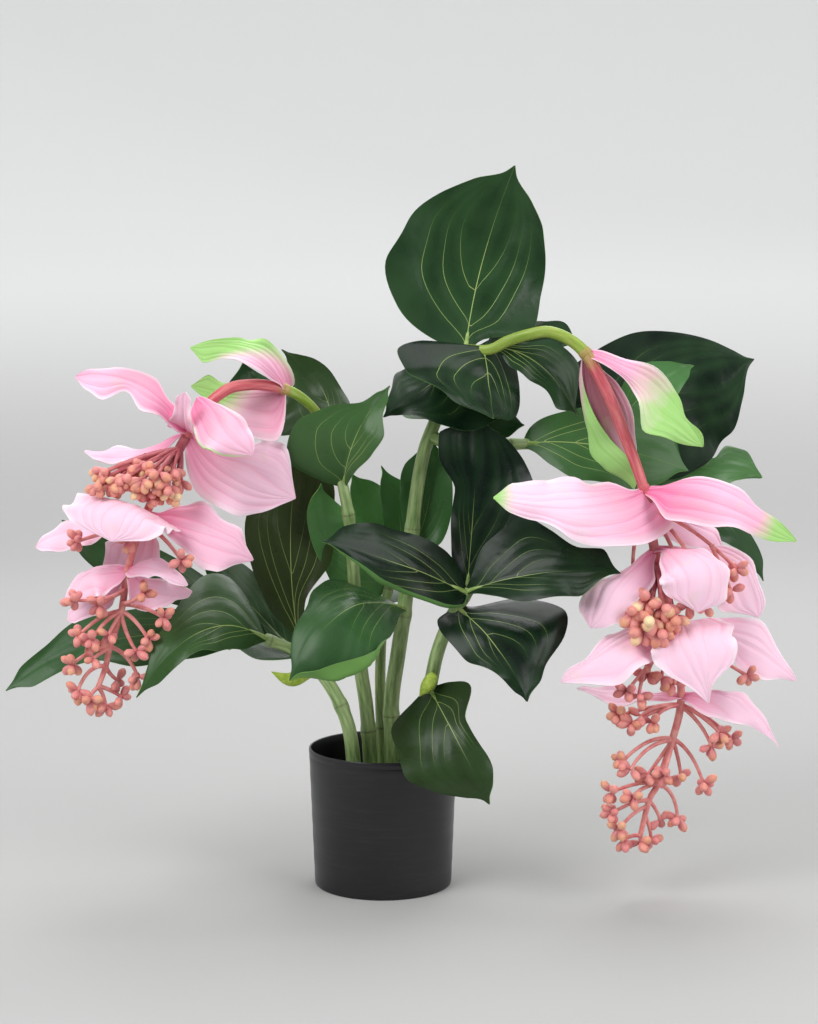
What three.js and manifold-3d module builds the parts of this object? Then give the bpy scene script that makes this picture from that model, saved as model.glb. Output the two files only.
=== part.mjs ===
// A medinilla (showy pink-bracted pot plant) in a plain black nursery pot.
// Millimetres, +Z up, the front of the plant faces -Y, and the origin is the middle of the pot's underside.
import * as THREE from "three";
import Module from "manifold-3d";

const wasm = await Module();
wasm.setup();

// Driving dimensions. The pot is a 14 cm nursery pot, and the soil in it has a low crown.
const pot = { rimRadius: 70, footRadius: 64.8, height: 131, wall: 2, floor: 3, chamfer: 1.5, sides: 36 };
const soil = { crown: 103, shoulder: 101.5, edge: 99, shoulderRadius: 40, sides: 20 };
const clearance = 0.35;

// Leaves and bracts: thickness, half width at the foot, and how finely broad and narrow ones are divided.
const leafMake = {
  thickness: 0.9,
  foot: 3,
  broad: { steps: 7, strips: 4 },
  narrow: { steps: 6, strips: 2 },
};
const bractMake = {
  thickness: 0.9,
  foot: 4,
  broad: { steps: 5, strips: 4 },
  narrow: { steps: 4, strips: 2 },
};
const tipWidth = 0.8;
const hemStart = 0.72;
const leftPhase = 0.37;
const narrowBelow = 52;

// Round stalks: the collar under a whorl of bracts, the twigs of a flower head and the buds on them.
const collar = { length: 7, wall: 2.2, sides: 6 };
const twig = { rootRadius: 1.4, tipRadius: 1.1, steps: 2 };
const bud = { length: 9.5, radius: 3.8, belly: 0.66, knob: 2, share: 0.6 };

// Stems and flower stalks: the middle line, and the radius from root to tip.
const limbs = {
  stemLeft: {
    path: [
      [-25, -20, 76], [-29, -22, 137], [-36, -22, 167], [-48, -18, 191], [-63, -8, 208],
      [-84, -2, 223], [-111, -4, 235],
    ],
    radii: [7, 6.4, 6, 5],
    steps: 10,
    sides: 8,
  },
  stemMid: {
    path: [
      [-10, -2, 72], [-13, 0, 132], [-16, 2, 170], [-21, 0, 206], [-25, -2, 252],
      [-28, -8, 310], [-31, -14, 348], [-37, -14, 382], [-43, 0, 405], [-51, 8, 430],
    ],
    radii: [7, 6.6, 5.4, 4.6],
    steps: 11,
    sides: 8,
  },
  stemBack: {
    path: [
      [1, 24, 65], [-1, 26, 126], [-3, 28, 179], [-2, 30, 223], [2, 36, 260], [7, 44, 285],
    ],
    radii: [6, 5, 4],
    steps: 8,
    sides: 6,
  },
  stemTall: {
    path: [
      [7, 8, 69], [8, 8, 130], [8, 8, 174], [14, 4, 218], [20, 2, 261], [25, 6, 308],
      [30, 8, 360], [38, 10, 407], [49, 10, 438], [65, 4, 475], [79, -2, 506],
    ],
    radii: [7.6, 7.2, 6.4, 5.6],
    steps: 12,
    sides: 8,
  },
  stemRight: {
    path: [
      [22, -10, 74], [26, -16, 123], [34, -32, 161], [43, -44, 194], [50, -46, 227],
      [59, -44, 252], [69, -42, 272], [79, -40, 287],
    ],
    radii: [6.6, 6.4, 6],
    steps: 9,
    sides: 8,
  },
  branchRight: {
    path: [
      [44, 10, 424], [82, 10, 413], [110, 8, 416], [135, 12, 417], [168, 38, 413],
      [207, 54, 421], [236, 56, 402], [255, 50, 377], [294, 52, 357],
    ],
    radii: [6, 5, 4],
    steps: 12,
    sides: 6,
  },
  leftPeduncle: {
    path: [
      [-51, 8, 430], [-63, -8, 450], [-76, -20, 463], [-89, -28, 470], [-104, -36, 474],
      [-120, -40, 475], [-138, -44, 472], [-155, -48, 460], [-169, -52, 444], [-177, -54, 429],
    ],
    radii: [4, 4.4, 4.6, 4],
    steps: 11,
    sides: 6,
  },
  leftRachis: {
    path: [
      [-177, -54, 429], [-199, -52, 389], [-211, -50, 366], [-221, -48, 343], [-229, -48, 319],
      [-234, -48, 298], [-239, -48, 268], [-250, -48, 235], [-254, -48, 217], [-261, -50, 198],
    ],
    radii: [3.6, 2.6, 2, 1.3],
    steps: 14,
    sides: 6,
  },
  rightPeduncle: {
    path: [
      [79, -2, 506], [99, -10, 506], [115, -16, 514], [133, -22, 520], [152, -28, 523],
      [171, -32, 516], [185, -36, 504], [196, -40, 486], [209, -42, 460], [220, -44, 432],
      [229, -46, 409], [236, -48, 389], [241, -48, 373],
    ],
    radii: [4.6, 5.2, 5.6, 5.4, 4.6],
    steps: 13,
    sides: 6,
  },
  rightRachis: {
    path: [
      [241, -48, 373], [244, -48, 352], [249, -48, 325], [257, -48, 292], [266, -48, 255],
      [273, -48, 218], [275, -48, 182], [268, -48, 149], [255, -48, 107], [247, -48, 91],
      [239, -50, 58],
    ],
    radii: [4, 3, 2.4, 1.3],
    steps: 16,
    sides: 6,
  },
};

// Leaves: the rib runs base, middle, tip. The half widths stand left and right of it at the stations.
// Angles in degrees: fold lifts a half at the rib, curl bends it evenly and hem turns its rim over.
const stations = [0, 0.08, 0.22, 0.4, 0.58, 0.76, 0.9, 1];
const leaves = {
  top: {
    rib: [[77, 3, 505], [93, 34, 586], [123, 26, 675]],
    face: [0, -1, 0.15],
    left: [31, 68, 87, 73, 46, 14],
    right: [14, 60, 64, 57, 48, 22],
    stem: ["stemTall", "rightPeduncle"], curl: [14, 22], wave: 4, waves: 1.5, phase: 0.1, lobe: 0.35,
  },
  topFront: {
    rib: [[85, -7, 506], [58, -60, 506], [17, -92, 502]],
    face: [0, -0.88, 0.47],
    left: [59, 64, 74, 65, 38, 25],
    right: [11, 13, 33, 28, 24, 13],
    stem: ["stemTall", "rightPeduncle"], fold: [-6, 4],
    curl: [0, -10], wave: 4, waves: 1.4, phase: 0.2, lobe: 0.6,
  },
  topUnder: {
    rib: [[72, 3, 488], [38, -6, 469], [1, -14, 444]],
    face: [-0.15, -0.85, 0.5],
    left: [58, 61, 51, 40, 15, 5],
    right: [13, 21, 36, 37, 21, 10],
    stem: "stemTall", fold: [-10, -14], wave: 4, waves: 1.4,
  },
  topUnderRight: {
    rib: [[73, 4, 488], [104, 10, 454], [132, 4, 435]],
    face: [0, -0.9, 0.4],
    left: [4, 6, 10, 9, 5, 2],
    right: [6, 16, 28, 26, 23, 17],
    stem: "stemTall", fold: -10, wave: 2, phase: 0.4,
  },
  topRight: {
    rib: [[79, -4, 505], [136, -10, 498], [181, -8, 444]],
    face: [0.1, -0.9, 0.4],
    left: [4, 4, 11, 31, 30, 10],
    right: [4, 4, 17, 17, 12, 15],
    stem: ["stemTall", "rightPeduncle"], fold: -8, wave: 3, phase: 0.3,
  },
  topRightBack: {
    rib: [[81, 2, 499], [144, 36, 526], [183, 38, 508]],
    face: [0, -0.8, 0.6],
    left: [4, 4, 4, 5, 10, 3],
    right: [4, 16, 26, 30, 28, 26],
    stem: ["stemTall", "rightPeduncle"], fold: [10, -4], wave: 2,
  },
  rightBack: {
    rib: [[210, 57, 421], [286, 80, 500], [359, 92, 492]],
    face: [0.05, -0.9, 0.35],
    left: [22, 71, 78, 47, 16, 4],
    right: [63, 82, 91, 91, 96, 103],
    stem: "branchRight", fold: [-30, 6], curl: [-20, 14], wave: 3, waves: 1.6,
  },
  rightInner: {
    rib: [[217, 51, 417], [253, 40, 469], [295, 50, 488]],
    face: [0, -0.8, 0.6],
    left: [4, 14, 21, 22, 12, 3],
    right: [4, 4, 20, 27, 19, 11],
    stem: "branchRight", fold: 8, wave: 2,
  },
  rightMid: {
    rib: [[132, 9, 417], [203, 2, 416], [286, 10, 392]],
    face: [0, -0.85, 0.5],
    left: [15, 27, 38, 48, 42, 28],
    right: [8, 24, 37, 37, 32, 19],
    stem: "branchRight", fold: [4, -4], wave: 3, waves: 1.6, phase: 0.6,
  },
  rightLow: {
    rib: [[253, 50, 378], [308, 54, 390], [364, 62, 380]],
    face: [0, -0.5, 0.87],
    left: [4, 4, 4, 11, 39, 33],
    right: [16, 28, 25, 28, 16, 4],
    stem: "branchRight", fold: [8, -8], curl: [0, -14], wave: 5, waves: 1.8,
  },
  rightDown: {
    rib: [[291, 51, 358], [335, 66, 331], [370, 80, 277]],
    face: [0.1, -0.85, 0.5],
    left: [5, 9, 19, 17, 14, 9],
    right: [2, 13, 19, 14, 5, 4],
    stem: "branchRight", fold: -5, wave: 2,
  },
  centreUp: {
    rib: [[78, -36, 285], [84, -22, 362], [90, -10, 446]],
    face: [0, -1, 0.12],
    left: [7, 17, 20, 18, 36, 36],
    right: [10, 17, 24, 45, 37, 22],
    stem: "stemRight", fold: 4, curl: [10, 16], wave: 4, waves: 1.6, phase: 0.45, lobe: 0.2,
  },
  centreRight: {
    rib: [[79, -44, 286], [143, -68, 306], [215, -80, 308]],
    face: [0, -0.85, 0.52],
    left: [13, 39, 53, 38, 22, 21],
    right: [7, 18, 28, 29, 30, 8],
    stem: "stemRight", fold: [12, 22], curl: [8, -8], wave: 4, waves: 1.6,
  },
  lowRight: {
    rib: [[69, -43, 271], [105, -90, 240], [130, -112, 197]],
    face: [0.1, -0.82, 0.55],
    left: [4, 48, 79, 63, 32, 16],
    right: [23, 30, 28, 21, 11, 5],
    stem: "stemRight", fold: [-8, -4], curl: [-8, -10], wave: 5, waves: 1.8, phase: 0.1, lobe: 0.5,
  },
  centreLeft: {
    rib: [[77, -45, 285], [11, -88, 319], [-52, -112, 341]],
    face: [0, -0.85, 0.52],
    left: [20, 28, 27, 30, 9, 2],
    right: [17, 29, 31, 32, 24, 16],
    stem: "stemRight", fold: [4, 6], hem: [30, 0], wave: 4, waves: 2, phase: 0.7,
  },
  lowLeft: {
    rib: [[20, -3, 263], [-34, -82, 273], [-84, -106, 230]],
    face: [0, -0.8, 0.6],
    left: [9, 22, 37, 46, 45, 34],
    right: [45, 44, 38, 24, 23, 11],
    stem: "stemTall", fold: [-6, -14], curl: [-6, -14], hem: [0, 150], wave: 3, waves: 1.5,
  },
  potFront: {
    rib: [[44, -45, 195], [69, -92, 156], [97, -106, 102]],
    face: [-0.1, -1, 0.2],
    left: [19, 34, 16, 16, 18, 10],
    right: [19, 49, 55, 54, 39, 15],
    stem: "stemRight", fold: 6, wave: 5, waves: 1.6, phase: 0.35, lobe: 0.35,
  },
  leftUp: {
    rib: [[-36, -14, 380], [-23, -34, 430], [7, -20, 473]],
    face: [-0.1, -1, 0.25],
    left: [6, 46, 49, 27, 5, 4],
    right: [5, 10, 21, 27, 11, 7],
    stem: "stemMid", fold: [14, 20], curl: [10, 6], wave: 2, waves: 1.4,
  },
  leftBack: {
    rib: [[-50, 8, 427], [-58, 52, 465], [-97, 60, 503]],
    face: [0.1, -1, 0.2],
    left: [15, 55, 44, 35, 21, 8],
    right: [15, 20, 18, 17, 13, 5],
    stem: "stemMid", fold: -4, wave: 3, waves: 1.6,
  },
  leftBackFar: {
    rib: [[-48, 5, 419], [-108, 86, 455], [-136, 94, 490]],
    face: [0.1, -0.9, 0.4],
    left: [4, 11, 25, 25, 27, 26],
    right: [4, 13, 19, 13, 8, 3],
    stem: "stemMid", fold: 6, wave: 3, waves: 2.2,
  },
  leftTall: {
    rib: [[-77, -4, 218], [-87, 10, 326], [-76, 22, 420]],
    face: [0.05, -1, 0.05],
    left: [4, 23, 38, 42, 28, 13],
    right: [6, 11, 37, 42, 38, 23],
    stem: "stemLeft", fold: 8, wave: 3, waves: 1.4, lobe: 0.2,
  },
  backLeft: {
    rib: [[5, 41, 284], [-53, 36, 327], [-59, 44, 377]],
    face: [0.1, -1, 0.1],
    left: [9, 4, 6, 8, 3, 4],
    right: [4, 10, 20, 24, 23, 13],
    stem: "stemBack", fold: 8, wave: 2,
  },
  backMid: {
    rib: [[6, 44, 281], [-13, 70, 330], [-31, 84, 382]],
    face: [0, -1, 0.2],
    left: [8, 15, 19, 17, 10, 5],
    right: [4, 11, 21, 27, 25, 15],
    stem: "stemBack", fold: 4, wave: 3,
  },
  backCentre: {
    rib: [[7, 42, 285], [16, 44, 339], [-2, 56, 392]],
    face: [0.1, -1, 0.1],
    left: [5, 12, 16, 15, 13, 7],
    right: [4, 8, 15, 18, 17, 5],
    stem: "stemBack", wave: 3,
  },
  backRight: {
    rib: [[25, 6, 311], [44, -10, 366], [46, 4, 423]],
    face: [0, -1, 0.1],
    left: [5, 17, 26, 30, 26, 12],
    right: [10, 22, 24, 20, 15, 5],
    stem: "stemTall", fold: 6, wave: 2.5,
  },
  farLeftFront: {
    rib: [[-110, -8, 236], [-167, -50, 249], [-223, -74, 193]],
    face: [-0.1, -1, 0.12],
    left: [11, 22, 22, 15, 12, 10],
    right: [33, 69, 50, 30, 17, 6],
    stem: "stemLeft", fold: [2, -24], curl: [10, -14], wave: 3, waves: 1.4,
  },
  farLeftBack: {
    rib: [[-111, -3, 235], [-256, 8, 231], [-353, -14, 187]],
    face: [-0.05, -0.85, 0.5],
    left: [11, 28, 33, 20, 16, 15],
    right: [13, 21, 29, 31, 15, 9],
    stem: "stemLeft", fold: [14, -4], wave: 3, waves: 1.5,
  },
  leftBehind: {
    rib: [[-85, -2, 224], [-133, 56, 262], [-175, 80, 302]],
    face: [0, -0.9, 0.4],
    left: [4, 14, 15, 15, 13, 9],
    right: [15, 27, 29, 25, 20, 10],
    stem: "stemLeft", fold: 6, wave: 3,
  },
  leftBehindFar: {
    rib: [[-110, 1, 235], [-234, 56, 301], [-307, 44, 341]],
    face: [0.1, -0.9, 0.4],
    left: [4, 15, 29, 32, 25, 13],
    right: [13, 17, 19, 15, 9, 3],
    stem: "stemLeft", fold: 8, wave: 3,
  },
  backHigh: {
    rib: [[50, 12, 440], [64, 92, 449], [80, 168, 434]],
    face: [0, 0.25, 1],
    left: [26, 38, 44, 41, 29, 14],
    right: [24, 35, 40, 38, 27, 13],
    plain: true, stem: "stemTall", wave: 4,
  },
  backLow: {
    rib: [[3, 36, 262], [-12, 104, 264], [-29, 160, 239]],
    face: [-0.1, 0.2, 1],
    left: [24, 36, 42, 38, 27, 13],
    right: [22, 33, 39, 35, 25, 12],
    plain: true, stem: "stemBack", wave: 4,
  },
  backRightLow: {
    rib: [[23, 4, 285], [91, 60, 289], [163, 120, 270]],
    face: [0.2, 0.1, 1],
    left: [24, 36, 42, 38, 27, 13],
    right: [22, 33, 39, 35, 25, 12],
    plain: true, stem: "stemTall", wave: 4, waves: 1.6,
  },
  leftBackLow: {
    rib: [[-76, -5, 217], [-112, 66, 221], [-137, 130, 200]],
    face: [-0.2, 0.2, 1],
    left: [24, 36, 42, 38, 27, 13],
    right: [22, 33, 39, 35, 25, 12],
    plain: true, stem: "stemLeft", wave: 4,
  },
  rightBackLow: {
    rib: [[239, 57, 399], [267, 120, 406], [299, 176, 386]],
    face: [0.2, 0.2, 1],
    left: [22, 34, 39, 36, 26, 12],
    right: [20, 31, 36, 33, 24, 11],
    plain: true, stem: "branchRight", wave: 4, waves: 1.7,
  },
};

// Buds of leaves to come, in the corners where leaves meet their stem.
const leafBuds = {
  budLeft: {
    path: [[-66, -10, 209], [-81, -22, 210], [-93, -30, 202]],
    radii: [2.4, 3, 0.6],
    stem: "stemLeft",
  },
  budRight: {
    path: [[42, -42, 190], [38, -54, 198], [35, -62, 207]],
    radii: [2.6, 3.4, 0.6],
    stem: "stemRight",
  },
  budCentre: {
    path: [[24, 4, 291], [37, -14, 313], [53, -20, 329]],
    radii: [2.6, 3.2, 0.6],
    stem: "stemTall",
  },
};

// Bracts, by the whorl they share. A whorl sits on its stalk by a collar at a fraction of the stalk's line.
const whorls = {
  leftTopBracts: {
    stalk: "leftPeduncle",
    at: 0.33,
    bracts: {
      leftTop1: {
        rib: [[-89, -28, 470], [-119, -54, 506], [-173, -48, 509]],
        face: [-0.1, -0.7, 0.7],
        left: [5, 11, 15, 15, 13, 15],
        right: [43, 34, 19, 11, 4, 4],
        fold: -6, twist: -40, wave: 3, waves: 1.6,
      },
      leftTop2: {
        rib: [[-89, -28, 470], [-127, -14, 460], [-177, -4, 472]],
        face: [0, -0.95, 0.3],
        left: [18, 38, 21, 15, 6, 5],
        right: [4, 8, 14, 14, 12, 16],
        fold: 6, wave: 3,
      },
    },
  },
  leftShoulderBract: {
    stalk: "leftPeduncle",
    at: 0.75,
    bracts: {
      leftTop3: {
        rib: [[-155, -50, 460], [-136, -88, 438], [-125, -96, 410]],
        face: [-0.2, -0.85, 0.5],
        left: [8, 10, 15, 21, 24, 15],
        right: [25, 27, 30, 28, 24, 18],
        fold: -6, curl: -10, wave: 3,
      },
    },
  },
  leftHubBracts: {
    stalk: "leftPeduncle",
    at: 0.94,
    trims: ["leftPeduncle", "leftRachis"],
    bracts: {
      leftHubUp: {
        rib: [[-175, -53, 434], [-218, -74, 476], [-273, -76, 484]],
        face: [0.1, -0.8, 0.6],
        left: [12, 13, 25, 9, 25, 18],
        right: [4, 6, 17, 11, 10, 7],
        fold: 8, wave: 4, waves: 2.2,
      },
      leftHubMid: {
        rib: [[-175, -53, 434], [-177, -74, 447], [-174, -84, 471]],
        face: [-0.3, -0.9, 0.1],
        left: [15, 12, 9, 6, 6, 6],
        right: [10, 10, 6, 7, 6, 7],
        fold: 12, wave: 1.5,
      },
      leftHubRight: {
        rib: [[-175, -53, 434], [-129, -48, 391], [-79, -40, 372]],
        face: [0, -1, 0.3],
        left: [4, 7, 30, 47, 45, 34],
        right: [14, 27, 35, 32, 21, 8],
        fold: -4, curl: -8, wave: 4, waves: 2.4,
      },
      leftEdge: {
        rib: [[-175, -53, 434], [-230, -26, 413], [-273, -30, 413]],
        face: [0, -0.3, 1],
        left: [4, 25, 25, 17, 11, 15],
        right: [4, 4, 10, 16, 25, 21],
        fold: -10, wave: 3,
      },
    },
  },
  leftMiddleBracts: {
    stalk: "leftRachis",
    at: 0.27,
    bracts: {
      leftFront: {
        rib: [[-215, -49, 357], [-227, -96, 371], [-238, -112, 341]],
        face: [-0.05, -0.8, 0.7],
        left: [24, 30, 34, 37, 30, 14],
        right: [63, 57, 51, 57, 57, 49],
        fold: -4, curl: -14, wave: 5, waves: 1.1,
      },
      leftSideRight: {
        rib: [[-215, -49, 357], [-160, -64, 345], [-117, -60, 317]],
        face: [0.1, -0.85, 0.55],
        left: [4, 19, 25, 18, 20, 6],
        right: [4, 16, 23, 34, 31, 13],
        fold: -4, wave: 4, waves: 1.8,
      },
      leftSideLeft: {
        rib: [[-215, -49, 357], [-278, -32, 337], [-320, -26, 324]],
        face: [-0.1, -0.75, 0.7],
        left: [4, 4, 15, 13, 10, 8],
        right: [4, 4, 15, 18, 16, 12],
        wave: 3,
      },
      leftLowBack: {
        rib: [[-215, -49, 357], [-232, -8, 304], [-251, 6, 279]],
        face: [0.1, -1, 0.2],
        left: [4, 17, 22, 13, 6, 4],
        right: [4, 12, 32, 28, 23, 21],
        wave: 3,
      },
    },
  },
  leftLowBracts: {
    stalk: "leftRachis",
    at: 0.52,
    bracts: {
      leftLowEdge: {
        rib: [[-232, -48, 306], [-201, -80, 318], [-174, -88, 298]],
        face: [0, -0.5, 0.87],
        left: [23, 14, 4, 4, 5, 3],
        right: [11, 19, 18, 19, 15, 9],
        fold: -10, wave: 3, waves: 1.8,
      },
      leftLowLeft: {
        rib: [[-232, -48, 306], [-266, -42, 302], [-291, -42, 278]],
        face: [-0.1, -0.75, 0.7],
        left: [16, 23, 30, 28, 24, 20],
        right: [4, 4, 8, 5, 8, 6],
        wave: 3,
      },
      leftLowRight: {
        rib: [[-232, -48, 306], [-203, -38, 283], [-176, -30, 284]],
        face: [0.1, -0.9, 0.35],
        left: [4, 7, 12, 14, 12, 7],
        right: [10, 23, 21, 11, 4, 4],
        wave: 3,
      },
      leftLowPale: {
        rib: [[-232, -48, 306], [-265, -30, 276], [-293, -20, 255]],
        face: [-0.1, -0.9, 0.4],
        left: [4, 8, 15, 12, 8, 7],
        right: [4, 4, 5, 7, 9, 8],
        wave: 2,
      },
    },
  },
  rightTopBracts: {
    stalk: "rightPeduncle",
    at: 0.5,
    bracts: {
      rightTop1: {
        rib: [[185, -36, 504], [250, -64, 467], [289, -66, 421]],
        face: [0.1, -0.92, 0.4],
        left: [10, 13, 17, 13, 2, 4],
        right: [4, 4, 16, 38, 26, 14],
        fold: 6, wave: 5, waves: 1.8, phase: 0.2,
      },
      rightTop2: {
        rib: [[185, -36, 504], [197, -54, 433], [229, -56, 382]],
        face: [-0.2, -1, 0.1],
        left: [8, 23, 37, 30, 15, 9],
        right: [6, 15, 15, 15, 7, 4],
        fold: [10, 16], curl: [10, 20], wave: 2, waves: 1.4,
      },
    },
  },
  rightHubBracts: {
    stalk: "rightPeduncle",
    at: 0.95,
    trims: ["rightPeduncle", "rightRachis"],
    bracts: {
      rightHubLeft: {
        rib: [[239, -48, 380], [176, -98, 369], [99, -112, 380]],
        face: [0, -0.82, 0.6],
        left: [40, 44, 37, 29, 12, 11],
        right: [4, 25, 34, 42, 31, 28],
        fold: [-8, -8], curl: -10, wave: 4, waves: 3,
      },
      rightHubRight: {
        rib: [[239, -48, 380], [305, -82, 378], [371, -88, 338]],
        face: [0.05, -0.75, 0.7],
        left: [4, 18, 19, 18, 8, 4],
        right: [14, 33, 33, 29, 22, 13],
        fold: -8, curl: -8, wave: 4, waves: 2,
      },
      rightHubBack: {
        rib: [[239, -48, 380], [287, -20, 341], [316, -8, 321]],
        face: [0, -0.9, 0.35],
        left: [4, 4, 4, 10, 14, 7],
        right: [4, 24, 21, 15, 8, 3],
        wave: 2,
      },
    },
  },
  rightMiddleBracts: {
    stalk: "rightRachis",
    at: 0.2,
    bracts: {
      rightMidLeft: {
        rib: [[249, -48, 325], [211, -80, 295], [188, -84, 259]],
        face: [-0.2, -0.85, 0.45],
        left: [8, 21, 21, 16, 11, 7],
        right: [4, 4, 10, 22, 20, 14],
        fold: -6, curl: -10, wave: 3,
      },
      rightMidFront: {
        rib: [[249, -48, 325], [279, -94, 320], [282, -100, 276]],
        face: [0.1, -0.85, 0.6],
        left: [4, 14, 22, 30, 29, 24],
        right: [4, 22, 33, 35, 32, 25],
        fold: -6, curl: -22, wave: 2,
      },
      rightMidRight: {
        rib: [[249, -48, 325], [321, -38, 309], [346, -40, 261]],
        face: [0.2, -0.9, 0.4],
        left: [4, 4, 15, 17, 12, 10],
        right: [4, 24, 37, 41, 40, 34],
        fold: -4, wave: 3, waves: 1.8,
      },
    },
  },
  rightLowBracts: {
    stalk: "rightRachis",
    at: 0.4,
    bracts: {
      rightLowLeft: {
        rib: [[266, -48, 255], [211, -88, 243], [161, -98, 212]],
        face: [-0.1, -0.78, 0.65],
        left: [5, 20, 29, 32, 25, 12],
        right: [4, 11, 17, 12, 5, 7],
        fold: [-4, -6], curl: -8, wave: 3, waves: 2,
      },
      rightLowFront: {
        rib: [[266, -48, 255], [280, -98, 250], [292, -108, 195]],
        face: [0, -0.85, 0.6],
        left: [43, 45, 41, 37, 31, 6],
        right: [31, 7, 41, 39, 33, 13],
        fold: -4, curl: -14, wave: 6, waves: 1.2,
      },
      rightLowRight: {
        rib: [[266, -48, 255], [332, -48, 241], [381, -46, 203]],
        face: [0.1, -0.87, 0.5],
        left: [4, 11, 18, 26, 12, 5],
        right: [4, 7, 14, 28, 26, 10],
        fold: -4, wave: 4, waves: 1.8,
      },
    },
  },
  rightBaseBracts: {
    stalk: "rightRachis",
    at: 0.58,
    bracts: {
      rightBaseRight: {
        rib: [[275, -48, 189], [318, -66, 189], [363, -64, 145]],
        face: [0, -0.6, 0.8],
        left: [4, 4, 4, 21, 14, 4],
        right: [11, 19, 23, 23, 8, 3],
        fold: -8, curl: -6, wave: 4, waves: 2.2,
      },
      rightBaseLeft: {
        rib: [[275, -48, 189], [229, -42, 188], [180, -38, 194]],
        face: [0, -0.4, 1],
        left: [6, 4, 11, 19, 10, 6],
        right: [5, 6, 15, 14, 12, 10],
        wave: 3,
      },
    },
  },
};

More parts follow.
